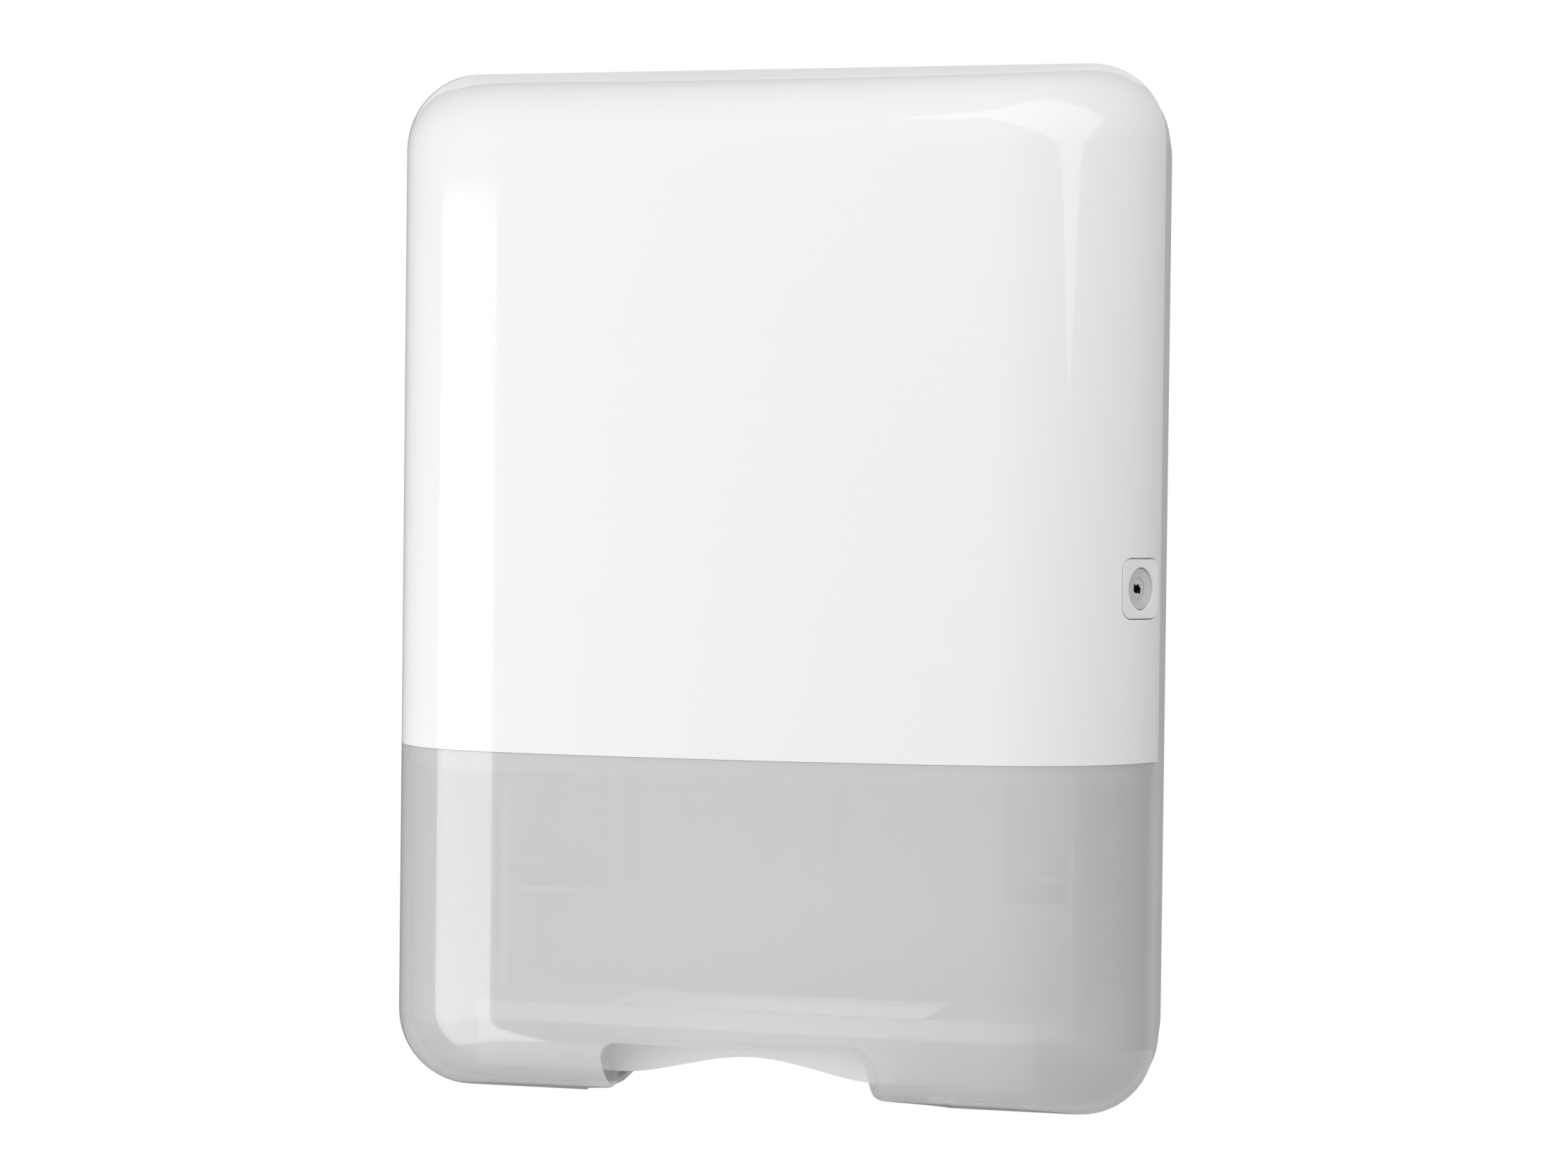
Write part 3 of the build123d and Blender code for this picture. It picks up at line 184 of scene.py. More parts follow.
def smooth(piece, angle=35):
    """Smooth faces with sharp edges where two faces meet at more than the angle."""
    piece.data.polygons.foreach_set("use_smooth", [True] * len(piece.data.polygons))
    piece.data.set_sharp_from_angle(angle=radians(angle))
    return piece


def soften(piece, width, segments=2, angle=35):
    """Rounds the piece's sharp edges, as a mould leaves them, and keeps its broad faces even."""
    step = piece.modifiers.new("edge", "BEVEL")
    step.width = width
    step.segments = segments
    step.limit_method = "ANGLE"
    step.angle_limit = radians(angle)
    step.miter_outer = "MITER_ARC"
    step.use_clamp_overlap = True
    bake(piece)
    smooth(piece, angle)
    step = piece.modifiers.new("even", "WEIGHTED_NORMAL")
    step.keep_sharp = True
    bake(piece)
    return piece


def add_node(tree, kind, **values):
    """Node of that kind, with the values set on its properties or its inputs."""
    node = tree.nodes.new(kind)
    for name, value in values.items():
        if hasattr(node, name):
            setattr(node, name, value)
        else:
            node.inputs[name.replace("_", " ").title()].default_value = value
    return node


# Moulded plastic as all the plastic pieces have it: a fine grain from the mould, a slow drift of tone, and
# gloss that varies a little where hands have wiped it. One group serves them all, with its own values in
# each material.
moulded = bpy.data.node_groups.new("moulded_surface", "ShaderNodeTree")
for name, value in {"Grain Size": 1500.0, "Tone Drift": 0.02, "Gloss": 0.3, "Gloss Drift": 0.05}.items():
    socket = moulded.interface.new_socket(name, in_out="INPUT", socket_type="NodeSocketFloat")
    socket.default_value = value
moulded.interface.new_socket("Colour", in_out="INPUT", socket_type="NodeSocketColor")
moulded.interface.new_socket("Colour", in_out="OUTPUT", socket_type="NodeSocketColor")
moulded.interface.new_socket("Roughness", in_out="OUTPUT", socket_type="NodeSocketFloat")
moulded.interface.new_socket("Grain", in_out="OUTPUT", socket_type="NodeSocketFloat")
taken = moulded.nodes.new("NodeGroupInput")
given = moulded.nodes.new("NodeGroupOutput")
place = moulded.nodes.new("ShaderNodeTexCoord")
grain = add_node(moulded, "ShaderNodeTexNoise", detail=3.0, roughness=0.6)
drift = add_node(moulded, "ShaderNodeTexNoise", scale=14.0, detail=2.0)
wiped = add_node(moulded, "ShaderNodeTexNoise", scale=38.0, detail=4.0)
shade = add_node(moulded, "ShaderNodeMath", operation="MULTIPLY_ADD")
lighten = add_node(moulded, "ShaderNodeMixRGB", blend_type="MULTIPLY")
gloss = add_node(moulded, "ShaderNodeMath", operation="MULTIPLY_ADD")
centred = add_node(moulded, "ShaderNodeMath", operation="SUBTRACT")
centred.inputs[1].default_value = 0.5
lighten.inputs["Fac"].default_value = 1.0
shade.inputs[2].default_value = 1.0
below = add_node(moulded, "ShaderNodeMath", operation="MULTIPLY")
below.inputs[1].default_value = -1.0
for start, end in [
    (place.outputs["Object"], grain.inputs["Vector"]),
    (place.outputs["Object"], drift.inputs["Vector"]),
    (place.outputs["Object"], wiped.inputs["Vector"]),
    (taken.outputs["Grain Size"], grain.inputs["Scale"]),
    (taken.outputs["Tone Drift"], below.inputs[0]),
    (drift.outputs["Fac"], shade.inputs[0]),
    (below.outputs[0], shade.inputs[1]),
    (taken.outputs["Colour"], lighten.inputs[1]),
    (shade.outputs[0], lighten.inputs[2]),
    (wiped.outputs["Fac"], centred.inputs[0]),
    (centred.outputs[0], gloss.inputs[0]),
    (taken.outputs["Gloss Drift"], gloss.inputs[1]),
    (taken.outputs["Gloss"], gloss.inputs[2]),
    (lighten.outputs[0], given.inputs["Colour"]),
    (gloss.outputs[0], given.inputs["Roughness"]),
    (grain.outputs["Fac"], given.inputs["Grain"]),
]:
    moulded.links.new(start, end)


def plastic(name, colour, roughness, grain_size, grain_height, tone_drift=0.02, gloss_drift=0.05, coat=0.0):
    """Moulded plastic: its colour, how dull it is, and the size and height of its grain."""
    material = bpy.data.materials.new(name)
    material.use_nodes = True
    tree = material.node_tree
    shader = tree.nodes["Principled BSDF"]
    surface = tree.nodes.new("ShaderNodeGroup")
    surface.node_tree = moulded
    surface.inputs["Colour"].default_value = (*colour, 1)
    surface.inputs["Gloss"].default_value = roughness
    surface.inputs["Gloss Drift"].default_value = gloss_drift
    surface.inputs["Grain Size"].default_value = grain_size
    surface.inputs["Tone Drift"].default_value = tone_drift
    bump = tree.nodes.new("ShaderNodeBump")
    bump.inputs["Strength"].default_value = 1.0
    bump.inputs["Distance"].default_value = grain_height
    tree.links.new(surface.outputs["Colour"], shader.inputs["Base Color"])
    tree.links.new(surface.outputs["Roughness"], shader.inputs["Roughness"])
    tree.links.new(surface.outputs["Grain"], bump.inputs["Height"])
    tree.links.new(bump.outputs["Normal"], shader.inputs["Normal"])
    shader.inputs["IOR"].default_value = 1.5
    shader.inputs["Coat Weight"].default_value = coat
    shader.inputs["Coat Roughness"].default_value = 0.04
    return material


def dress_piece(piece, slot, material, *replaced):
    """Gives the piece its material, and hides the CAD nodes that it stands for."""
    piece.data.materials.clear()
    piece.data.materials.append(material)
    piece.data.polygons.foreach_set("material_index", [0] * len(piece.data.polygons))
    if replaced:
        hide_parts(*replaced)
    return piece


def place_piece(piece, body, slot, material, *replaced):
    """Dresses the piece and lets it ride on a body."""
    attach(piece, body)
    return dress_piece(piece, slot, material, *replaced)


def moulded_copy(name, merge=1e-6, flat=1.0):
    """Copy of a CAD node as one clean skin, its flat faces joined, ready for its edges to be softened."""
    bm = bmesh.new()
    bm.from_mesh(nodes[name].data)
    bmesh.ops.remove_doubles(bm, verts=bm.verts[:], dist=merge)
    bmesh.ops.dissolve_limit(bm, angle_limit=radians(flat), verts=bm.verts[:], edges=bm.edges[:])
    mesh = bpy.data.meshes.new(name + "_moulded")
    bm.to_mesh(mesh)
    bm.free()
    piece = bpy.data.objects.new(name + "_moulded", mesh)
    bpy.context.scene.collection.objects.link(piece)
    return piece


# Rear housing: the moulded box on the wall, in white plastic with a fine matte grain. Its rim, ribs, pad
# and bosses are moulded in one, and the mould leaves every edge a little round.
white_matte = plastic("white_matte", (0.80, 0.80, 0.80), 0.42, 1400, 0.00002, tone_drift=0.03)
housing = smooth(soften(moulded_copy("rear_housing"), 0.35 * mm))
place_piece(housing, "housing", "white_matte", white_matte, "rear_housing")

# Towel tray: a white satin shelf inside the bottom, screwed to the housing. Its front wall ends in the
# arched lip that shows under the cover's notch, where a hand takes hold of the towel.
white_satin = plastic("white_satin", (0.93, 0.93, 0.93), 0.30, 1900, 0.000008, tone_drift=0.015)
tray = soften(moulded_copy("towel_tray"), 0.5 * mm, segments=3)
place_piece(tray, "housing", "white_satin", white_satin, "towel_tray")

# Side guides: angled walls that keep the stack of towels in the middle, moulded in matte white plastic, one
# left-hand and one right-hand, each with a bead along its free edge and a ledge with a finger at its foot.
for side in ("left", "right"):
    guide = soften(moulded_copy(f"side_guide_{side}"), 0.4 * mm)
    place_piece(guide, "housing", "white_matte", white_matte, f"side_guide_{side}")

# Upper cover: the white shell, moulded glossy and seamless, with the hinge shelves, the lock's seat and the
# latch pin's lugs on its inside. It ends at the parting line, where the window takes over its form.
white_gloss = plastic("white_gloss", (0.87, 0.87, 0.87), 0.08, 900, 0.0000015, 0.01, 0.03)
white_gloss.node_tree.nodes["Principled BSDF"].inputs["IOR"].default_value = 1.6
LOCK_ANGLE = radians(25.7)
lock_out = Vector((cos(LOCK_ANGLE), -sin(LOCK_ANGLE), 0))
lock_along = Vector((sin(LOCK_ANGLE), cos(LOCK_ANGLE), 0))
surround_low, surround_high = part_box("lock_surround")
lock_z = (surround_low.z + surround_high.z) / 2
lock_middle = Vector((SHOULDER_X, SHOULDER_Y, lock_z)) + lock_out * SHOULDER_R
lock_frame = Matrix((lock_along, Vector((0, 0, 1)), lock_out)).transposed().to_4x4()
lock_frame.translation = lock_middle


def rounded_square(half, corner, steps=10):
    """Corner points of a rounded square round the origin, in order."""
    points = []
    for quarter in range(4):
        for i in range(steps + 1):
            a = pi / 2 * (quarter + i / steps)
            cx = (half - corner) * (1 if quarter in (0, 3) else -1)
            cy = (half - corner) * (1 if quarter in (0, 1) else -1)
            points.append((cx + corner * cos(a), cy + corner * sin(a)))
    return points


def prism(points, low, high, where):
    """Solid with that outline, from low to high along the third axis of the frame it is placed in."""
    bm = bmesh.new()
    base = [bm.verts.new(where @ Vector((x, y, low))) for x, y in points]
    top = [bm.verts.new(where @ Vector((x, y, high))) for x, y in points]
    bm.faces.new(base)
    bm.faces.new(top)
    for i in range(len(points)):
        j = (i + 1) % len(points)
        bm.faces.new((base[i], base[j], top[j], top[i]))
    return new_piece("prism", bm)


def block(low, high):
    """Solid block between two corners."""
    corners = [(low[0], low[1]), (high[0], low[1]), (high[0], high[1]), (low[0], high[1])]
    return prism(corners, low[2], high[2], Matrix.Identity(4))


def disc(radius, steps=64):
    """Outline of a circle."""
    return [(radius * cos(2 * pi * i / steps), radius * sin(2 * pi * i / steps)) for i in range(steps)]


def cover_shell(low_z, high_z):
    """The wall of the cover between two heights."""
    shell = cover_form(0, SEAM_Y, low_z, high_z)
    hollow = cover_form(WALL, SEAM_Y + WALL)
    return combine(shell, hollow, "DIFFERENCE")


BEZEL_HALF = 12.7 * mm
BEZEL_CORNER_R = 5.4 * mm
BEZEL_SEAT = 4 * mm
LOCK_PAD_HALF = 17.5 * mm
LOCK_PAD_BACK = 8 * mm
BARREL_HOLE_R = 10.6 * mm
FUSE = 1.5 * mm
SHELF = 5 * mm
SHELF_EDGE = 2 * mm
SHELF_REAR_Y = -78 * mm
inside = []
for which in ("upper", "lower"):
    arm_low, arm_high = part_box(f"hinge_arm_{which}")
    shelf_front = (-HALF_WIDTH, arm_low.y - SHELF_EDGE, arm_low.z - SHELF)
    inside.append(block(shelf_front, (arm_high.x + SHELF_EDGE, SHELF_REAR_Y, arm_low.z)))
inside.append(prism(rounded_square(LOCK_PAD_HALF, 5 * mm), -LOCK_PAD_BACK, -FUSE, lock_frame))
pin_low, pin_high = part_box("latch_pin")
pivot_x = (pin_low.x + pin_high.x) / 2
pivot_y = (pin_low.y + pin_high.y) / 2
LUG = 3.5 * mm
LUG_SIDE = 5 * mm
LUG_FRONT = 10.5 * mm
LUG_BACK = 4.6 * mm
PIN_HEAD = 1.2 * mm
SPRING_STOP = 2.5 * mm
lug_high = pin_high.z - PIN_HEAD
for z in (pin_low.z, lug_high - LUG):
    lug_corner = (pivot_x - LUG_SIDE, pivot_y - LUG_FRONT, z)
    inside.append(block(lug_corner, (HALF_WIDTH, pivot_y + LUG_BACK, z + LUG)))
stop_low = (pivot_x - LUG_SIDE, pivot_y - LUG_FRONT, pin_low.z)
inside.append(block(stop_low, (stop_low[0] + SPRING_STOP, stop_low[1] + SPRING_STOP, lug_high)))
PEG_PLACES = [HALF_WIDTH * share for share in (-0.54, -0.2, 0.2, 0.54)]
PEG_RISE = 5.5 * mm
PEG_R = 1.5 * mm
PEG_REACH = 6.7 * mm


def peg_frame(x):
    """Frame of the peg at x: its third axis points straight out of the cover's front."""
    out = Vector((x, -sqrt(CROWN_R ** 2 - x ** 2), 0)) / CROWN_R
    upright = Vector((0, 0, 1))
    where = Matrix((upright.cross(out), upright, out)).transposed().to_4x4()
    where.translation = out * CROWN_R + Vector((0, crown_y, PARTING_Z + PEG_RISE))
    return where


for x in PEG_PLACES:
    inside.append(prism(disc(PEG_R, 32), -PEG_REACH, -FUSE, peg_frame(x)))
inner_skin = cover_form(FUSE, SEAM_Y)
cover = cover_shell(PARTING_Z, None)
for moulding in inside:
    trim = inner_skin.copy()
    trim.data = inner_skin.data.copy()
    bpy.context.scene.collection.objects.link(trim)
    combine(cover, combine(moulding, trim, "INTERSECT"), "UNION")
bpy.data.objects.remove(inner_skin)
bezel_seat = prism(rounded_square(BEZEL_HALF, BEZEL_CORNER_R), -BEZEL_SEAT, BEZEL_HALF, lock_frame)
combine(cover, bezel_seat, "DIFFERENCE")
combine(cover, prism(disc(BARREL_HOLE_R), -2 * LOCK_PAD_BACK, 0, lock_frame), "DIFFERENCE")
smooth(cover)
cover.name = "cover_shell"
place_piece(cover, "cover", "white_gloss", white_gloss, "cover_upper")

# Window: the lower shell, moulded in smoke-grey translucent plastic, with the outlet notch in its bottom. A
# strip turned inwards stiffens the notch, an oval opens the bottom behind it, and a tongue laps behind the
# cover.
PARTING_GAP = 0.2 * mm
NOTCH_HALF = 57 * mm
NOTCH_TOP = -190 * mm
NOTCH_CORNER_R = 8 * mm
RETURN_WALL = 2 * mm
RETURN_DEPTH = 4.5 * mm
NOTCH_FOOT_R = 5 * mm
NOTCH_FOOT_Z = -213.5 * mm
NOTCH_FLARE = 45 * mm
OUTLET_HALF = 80 * mm
OUTLET_DEPTH = 45 * mm
TONGUE_WALL = 1.6 * mm
TONGUE_GAP = 0.1 * mm
TONGUE_DROP = 8 * mm
TONGUE_SEAM_GAP = 3 * mm
PEG_HOLE_GAP = 0.3 * mm
front_frame = Matrix(((1, 0, 0, 0), (0, 0, -1, 0), (0, 1, 0, 0), (0, 0, 0, 1)))


def notch_outline(margin, steps=10):
    """Outline of the notch from the front, wider by the margin: its top corners and feet are rounded."""
    half, top, corner = NOTCH_HALF + margin, NOTCH_TOP + margin, NOTCH_CORNER_R + margin
    foot = NOTCH_FOOT_R - margin
    right = [(half + foot + NOTCH_FLARE, -HALF_HEIGHT - ROLL_R)]
    turns = [pi / 2 * i / steps for i in range(steps + 1)]
    for a in turns:
        right.append((half + foot - foot * sin(a), NOTCH_FOOT_Z + NOTCH_FOOT_R - foot * cos(a)))
    for a in turns:
        right.append((half - corner + corner * cos(a), top - corner + corner * sin(a)))
    return right + [(-x, z) for x, z in reversed(right)]


smoke_window = plastic("smoke_window", (0.78, 0.78, 0.78), 0.10, 900, 0.0000015, 0.01, 0.03, coat=1.0)
SMOKE_ALPHA = 0.54
smoke = smoke_window.node_tree.nodes["Principled BSDF"]
smoke.inputs["Alpha"].default_value = SMOKE_ALPHA
smoke.inputs["Coat IOR"].default_value = 2.2
window = cover_shell(None, PARTING_Z - PARTING_GAP)
turned_strip = prism(notch_outline(RETURN_WALL), -SEAM_Y, -2 * FRONT_Y, front_frame)
combine(turned_strip, cover_form(FUSE, SEAM_Y), "INTERSECT")
combine(turned_strip, cover_form(WALL + RETURN_DEPTH, SEAM_Y + WALL), "DIFFERENCE")
combine(window, turned_strip, "UNION")
combine(window, prism(notch_outline(0), -SEAM_Y - WALL, -2 * FRONT_Y, front_frame), "DIFFERENCE")
outlet = [(x * OUTLET_HALF, SEAM_Y + y * OUTLET_DEPTH) for x, y in disc(1)]
combine(window, prism(outlet, -2 * HALF_HEIGHT, NOTCH_TOP, Matrix.Identity(4)), "DIFFERENCE")
smooth(window)
place_piece(window, "cover", "smoke_window", smoke_window, "cover_window")
tongue_low = PARTING_Z - TONGUE_DROP
tongue_inset = WALL + TONGUE_GAP
tongue = cover_form(tongue_inset, SEAM_Y - TONGUE_SEAM_GAP, tongue_low, window_high.z)
combine(tongue, cover_form(tongue_inset + TONGUE_WALL, SEAM_Y), "DIFFERENCE")
for x in PEG_PLACES:
    combine(tongue, prism(disc(PEG_R + PEG_HOLE_GAP, 32), -PEG_REACH, 0, peg_frame(x)), "DIFFERENCE")
tongue.name = "window_tongue"
place_piece(smooth(tongue), "cover", "smoke_window", smoke_window)
window.name = "window_shell"

# Lock: a rounded-square surround of the cover's white plastic, and in it a light-grey button with a dished
# face and a dark running gap round it. The key core turns in the button's middle; the faces inside its
# keyway are painted near-black as painted shade, standing in for the dark of the deep, unlit keyway.
grey_plastic = plastic("grey_plastic", (0.60, 0.605, 0.61), 0.32, 1800, 0.00001, tone_drift=0.02)
# Near-black material used as painted shade inside the keyway, where the deep slot lies unlit.
keyway_painted_shade = plastic("keyway_painted_shade", (0.012, 0.012, 0.012), 0.6, 1800, 0.00001)
BUTTON_SEEN_R = 8.45 * mm
CORE_FACE = 2.4 * mm
KEYWAY_DEPTH = 4.5 * mm
KEYWAY_SHADE_REACH = 3.6 * mm
KEYWAY_SHADE_RIM = 0.1 * mm
KEYWAY = [
    (-2.2, 2.4), (-1.2, 1.3), (0.9, 2.0), (1.6, 0.3), (2.4, -0.6),
    (1.9, -2.3), (0.2, -1.7), (-0.6, -2.2), (-1.9, -0.4), (-2.6, 0.4),
]
for name, body, slot_name, material, edge in [
    ("lock_surround", "cover", "white_gloss", white_gloss, 0.25 * mm),
    ("lock_nut", "cover", "grey_plastic", grey_plastic, 0.3 * mm),
    ("button_stem", "button", "grey_plastic", grey_plastic, 0.15 * mm),
]:
    place_piece(soften(moulded_copy(name), edge), body, slot_name, material, name)
button = moulded_copy("lock_button")
combine(button, prism(disc(BUTTON_SEEN_R), -4 * LOCK_PAD_BACK, LOCK_PAD_BACK, lock_frame), "INTERSECT")
place_piece(soften(button, 0.1 * mm), "button", "grey_plastic", grey_plastic, "lock_button")
button.name = "dished_button"
core = soften(moulded_copy("key_core"), 0.06 * mm)
keyway = [(x * mm, y * mm) for x, y in KEYWAY]
combine(core, prism(keyway, -CORE_FACE - KEYWAY_DEPTH, 0, lock_frame), "DIFFERENCE")
place_piece(core, "key", "grey_plastic", grey_plastic, "key_core")
# Faces down inside the keyway get the near-black material: painted shade for the dark of the deep keyway.
core.data.materials.append(keyway_painted_shade)
from_lock = lock_frame.inverted()
for face in core.data.polygons:
    spot = from_lock @ face.center
    depth = -spot.z - KEYWAY_SHADE_RIM
    if spot.xy.length < KEYWAY_SHADE_REACH and CORE_FACE < depth < CORE_FACE + KEYWAY_DEPTH:
        face.material_index = 1

# Hinge arms: white acetal mouldings. Each turns on its pin in the housing, passes through the slot in the
# rim and is screwed to a shelf inside the cover.
white_acetal = plastic("white_acetal", (0.74, 0.74, 0.72), 0.35, 1600, 0.00001, tone_drift=0.03)
for which in ("upper", "lower"):
    arm = soften(moulded_copy(f"hinge_arm_{which}"), 0.5 * mm)
    place_piece(arm, "cover", "white_acetal", white_acetal, f"hinge_arm_{which}")

# Latch lever: a white acetal moulding behind the lock. The button's stem pushes its pad, and its ramped
# tooth leaves the strike.
lever = soften(moulded_copy("latch_lever"), 0.4 * mm)
place_piece(lever, "latch", "white_acetal", white_acetal, "latch_lever")

# Pins, strike, retaining ring and push nuts: small turned and pressed steel pieces. Zinc plating has a
# cloudy, slightly blue spangle; the spring steel is bare and darker.
plated = bpy.data.node_groups.new("plated_surface", "ShaderNodeTree")
for name, value in {"Spangle Size": 700.0, "Spangle": 0.2, "Roughness": 0.3}.items():
    socket = plated.interface.new_socket(name, in_out="INPUT", socket_type="NodeSocketFloat")
    socket.default_value = value
plated.interface.new_socket("Colour", in_out="INPUT", socket_type="NodeSocketColor")
plated.interface.new_socket("Colour", in_out="OUTPUT", socket_type="NodeSocketColor")
plated.interface.new_socket("Roughness", in_out="OUTPUT", socket_type="NodeSocketFloat")
taken = plated.nodes.new("NodeGroupInput")
given = plated.nodes.new("NodeGroupOutput")
place = plated.nodes.new("ShaderNodeTexCoord")
spangle = plated.nodes.new("ShaderNodeTexVoronoi")
darker = add_node(plated, "ShaderNodeMixRGB", blend_type="MULTIPLY")
duller = add_node(plated, "ShaderNodeMath", operation="MULTIPLY_ADD")
for start, end in [
    (place.outputs["Object"], spangle.inputs["Vector"]),
    (taken.outputs["Spangle Size"], spangle.inputs["Scale"]),
    (taken.outputs["Spangle"], darker.inputs["Fac"]),
    (taken.outputs["Colour"], darker.inputs[1]),
    (spangle.outputs["Color"], darker.inputs[2]),
    (spangle.outputs["Distance"], duller.inputs[0]),
    (taken.outputs["Spangle"], duller.inputs[1]),
    (taken.outputs["Roughness"], duller.inputs[2]),
    (darker.outputs[0], given.inputs["Colour"]),
    (duller.outputs[0], given.inputs["Roughness"]),
]:
    plated.links.new(start, end)


def steel(name, colour, roughness, spangle_share):
    """Steel with its colour, dullness and how much its plating's spangle shows."""
    material = bpy.data.materials.new(name)
    material.use_nodes = True
    tree = material.node_tree
    shader = tree.nodes["Principled BSDF"]
    surface = tree.nodes.new("ShaderNodeGroup")
    surface.node_tree = plated
    surface.inputs["Colour"].default_value = (*colour, 1)
    surface.inputs["Roughness"].default_value = roughness
    surface.inputs["Spangle"].default_value = spangle_share
    shader.inputs["Metallic"].default_value = 1.0
    tree.links.new(surface.outputs["Colour"], shader.inputs["Base Color"])
    tree.links.new(surface.outputs["Roughness"], shader.inputs["Roughness"])
    return material


zinc_steel = steel("zinc_steel", (0.62, 0.64, 0.67), 0.28, 0.15)
spring_steel = steel("spring_steel", (0.36, 0.37, 0.39), 0.35, 0.05)
for name, body, slot_name, material in [
    ("hinge_pin_upper", "housing", "zinc_steel", zinc_steel),
    ("hinge_pin_lower", "housing", "zinc_steel", zinc_steel),
    ("latch_pin", "cover", "zinc_steel", zinc_steel),
    ("latch_strike", "housing", "zinc_steel", zinc_steel),
    ("push_nuts", "cover", "spring_steel", spring_steel),
    ("retaining_ring", "button", "spring_steel", spring_steel),
]:
    place_piece(soften(moulded_copy(name), 0.12 * mm), body, slot_name, material, name)


def tree_input(tree, name, kind, value=None):
    """Named input of a geometry tree."""
    socket = tree.interface.new_socket(name, in_out="INPUT", socket_type=kind)
    if value is not None:
        socket.default_value = value


def grow(name, tree, points, values):
    """Mesh that a geometry tree makes from points with the given input values."""
    mesh = bpy.data.meshes.new(name)
    mesh.from_pydata(points, [], [])
    piece = bpy.data.objects.new(name, mesh)
    bpy.context.scene.collection.objects.link(piece)
    step = piece.modifiers.new("grow", "NODES")
    step.node_group = tree
    for item in tree.interface.items_tree:
        if item.name in values:
            step[item.identifier] = values[item.name]
    return bake(piece)


# Screws: zinc-plated pan heads with a cross recess. A tree makes one at each place: a domed head cut by two
# slots, on a plain shank, turned to its direction.
screws = bpy.data.node_groups.new("pan_head_screws", "GeometryNodeTree")
tree_input(screws, "Places", "NodeSocketGeometry")
tree_input(screws, "Direction", "NodeSocketVector")
tree_input(screws, "Shank Length", "NodeSocketFloat", 5 * mm)
tree_input(screws, "Shank Radius", "NodeSocketFloat", 1.5 * mm)
tree_input(screws, "Head Radius", "NodeSocketFloat", 2.9 * mm)
tree_input(screws, "Head Height", "NodeSocketFloat", 1.8 * mm)
tree_input(screws, "Recess Length", "NodeSocketFloat", 2.6 * mm)
tree_input(screws, "Recess Width", "NodeSocketFloat", 0.7 * mm)
tree_input(screws, "Steel", "NodeSocketMaterial")
screws.interface.new_socket("Screws", in_out="OUTPUT", socket_type="NodeSocketGeometry")
taken = screws.nodes.new("NodeGroupInput")
given = screws.nodes.new("NodeGroupOutput")
dome = add_node(screws, "GeometryNodeMeshUVSphere", segments=40, rings=24)
dome_size = screws.nodes.new("ShaderNodeCombineXYZ")
flatten = screws.nodes.new("GeometryNodeTransform")
room = screws.nodes.new("GeometryNodeMeshCube")
room_size = screws.nodes.new("ShaderNodeCombineXYZ")
lift = screws.nodes.new("GeometryNodeTransform")
lift_by = screws.nodes.new("ShaderNodeCombineXYZ")
above = add_node(screws, "GeometryNodeMeshBoolean", operation="INTERSECT")
slot_along = screws.nodes.new("GeometryNodeMeshCube")
along_size = screws.nodes.new("ShaderNodeCombineXYZ")
slot_across = screws.nodes.new("GeometryNodeMeshCube")
across_size = screws.nodes.new("ShaderNodeCombineXYZ")
slots_up = screws.nodes.new("GeometryNodeTransform")
slots_lift = screws.nodes.new("ShaderNodeCombineXYZ")
slots = screws.nodes.new("GeometryNodeJoinGeometry")
recessed = add_node(screws, "GeometryNodeMeshBoolean", operation="DIFFERENCE")
shank = add_node(screws, "GeometryNodeMeshCylinder", vertices=24)
shank_down = screws.nodes.new("GeometryNodeTransform")
half_length = add_node(screws, "ShaderNodeMath", operation="MULTIPLY")
half_length.inputs[1].default_value = -0.5
down_by = screws.nodes.new("ShaderNodeCombineXYZ")
whole = screws.nodes.new("GeometryNodeJoinGeometry")
spots = screws.nodes.new("GeometryNodeMeshToPoints")
turned = add_node(screws, "FunctionNodeAlignRotationToVector", axis="Z")
placed = screws.nodes.new("GeometryNodeInstanceOnPoints")
real = screws.nodes.new("GeometryNodeRealizeInstances")
dressed = screws.nodes.new("GeometryNodeSetMaterial")
dome.inputs["Radius"].default_value = 1.0
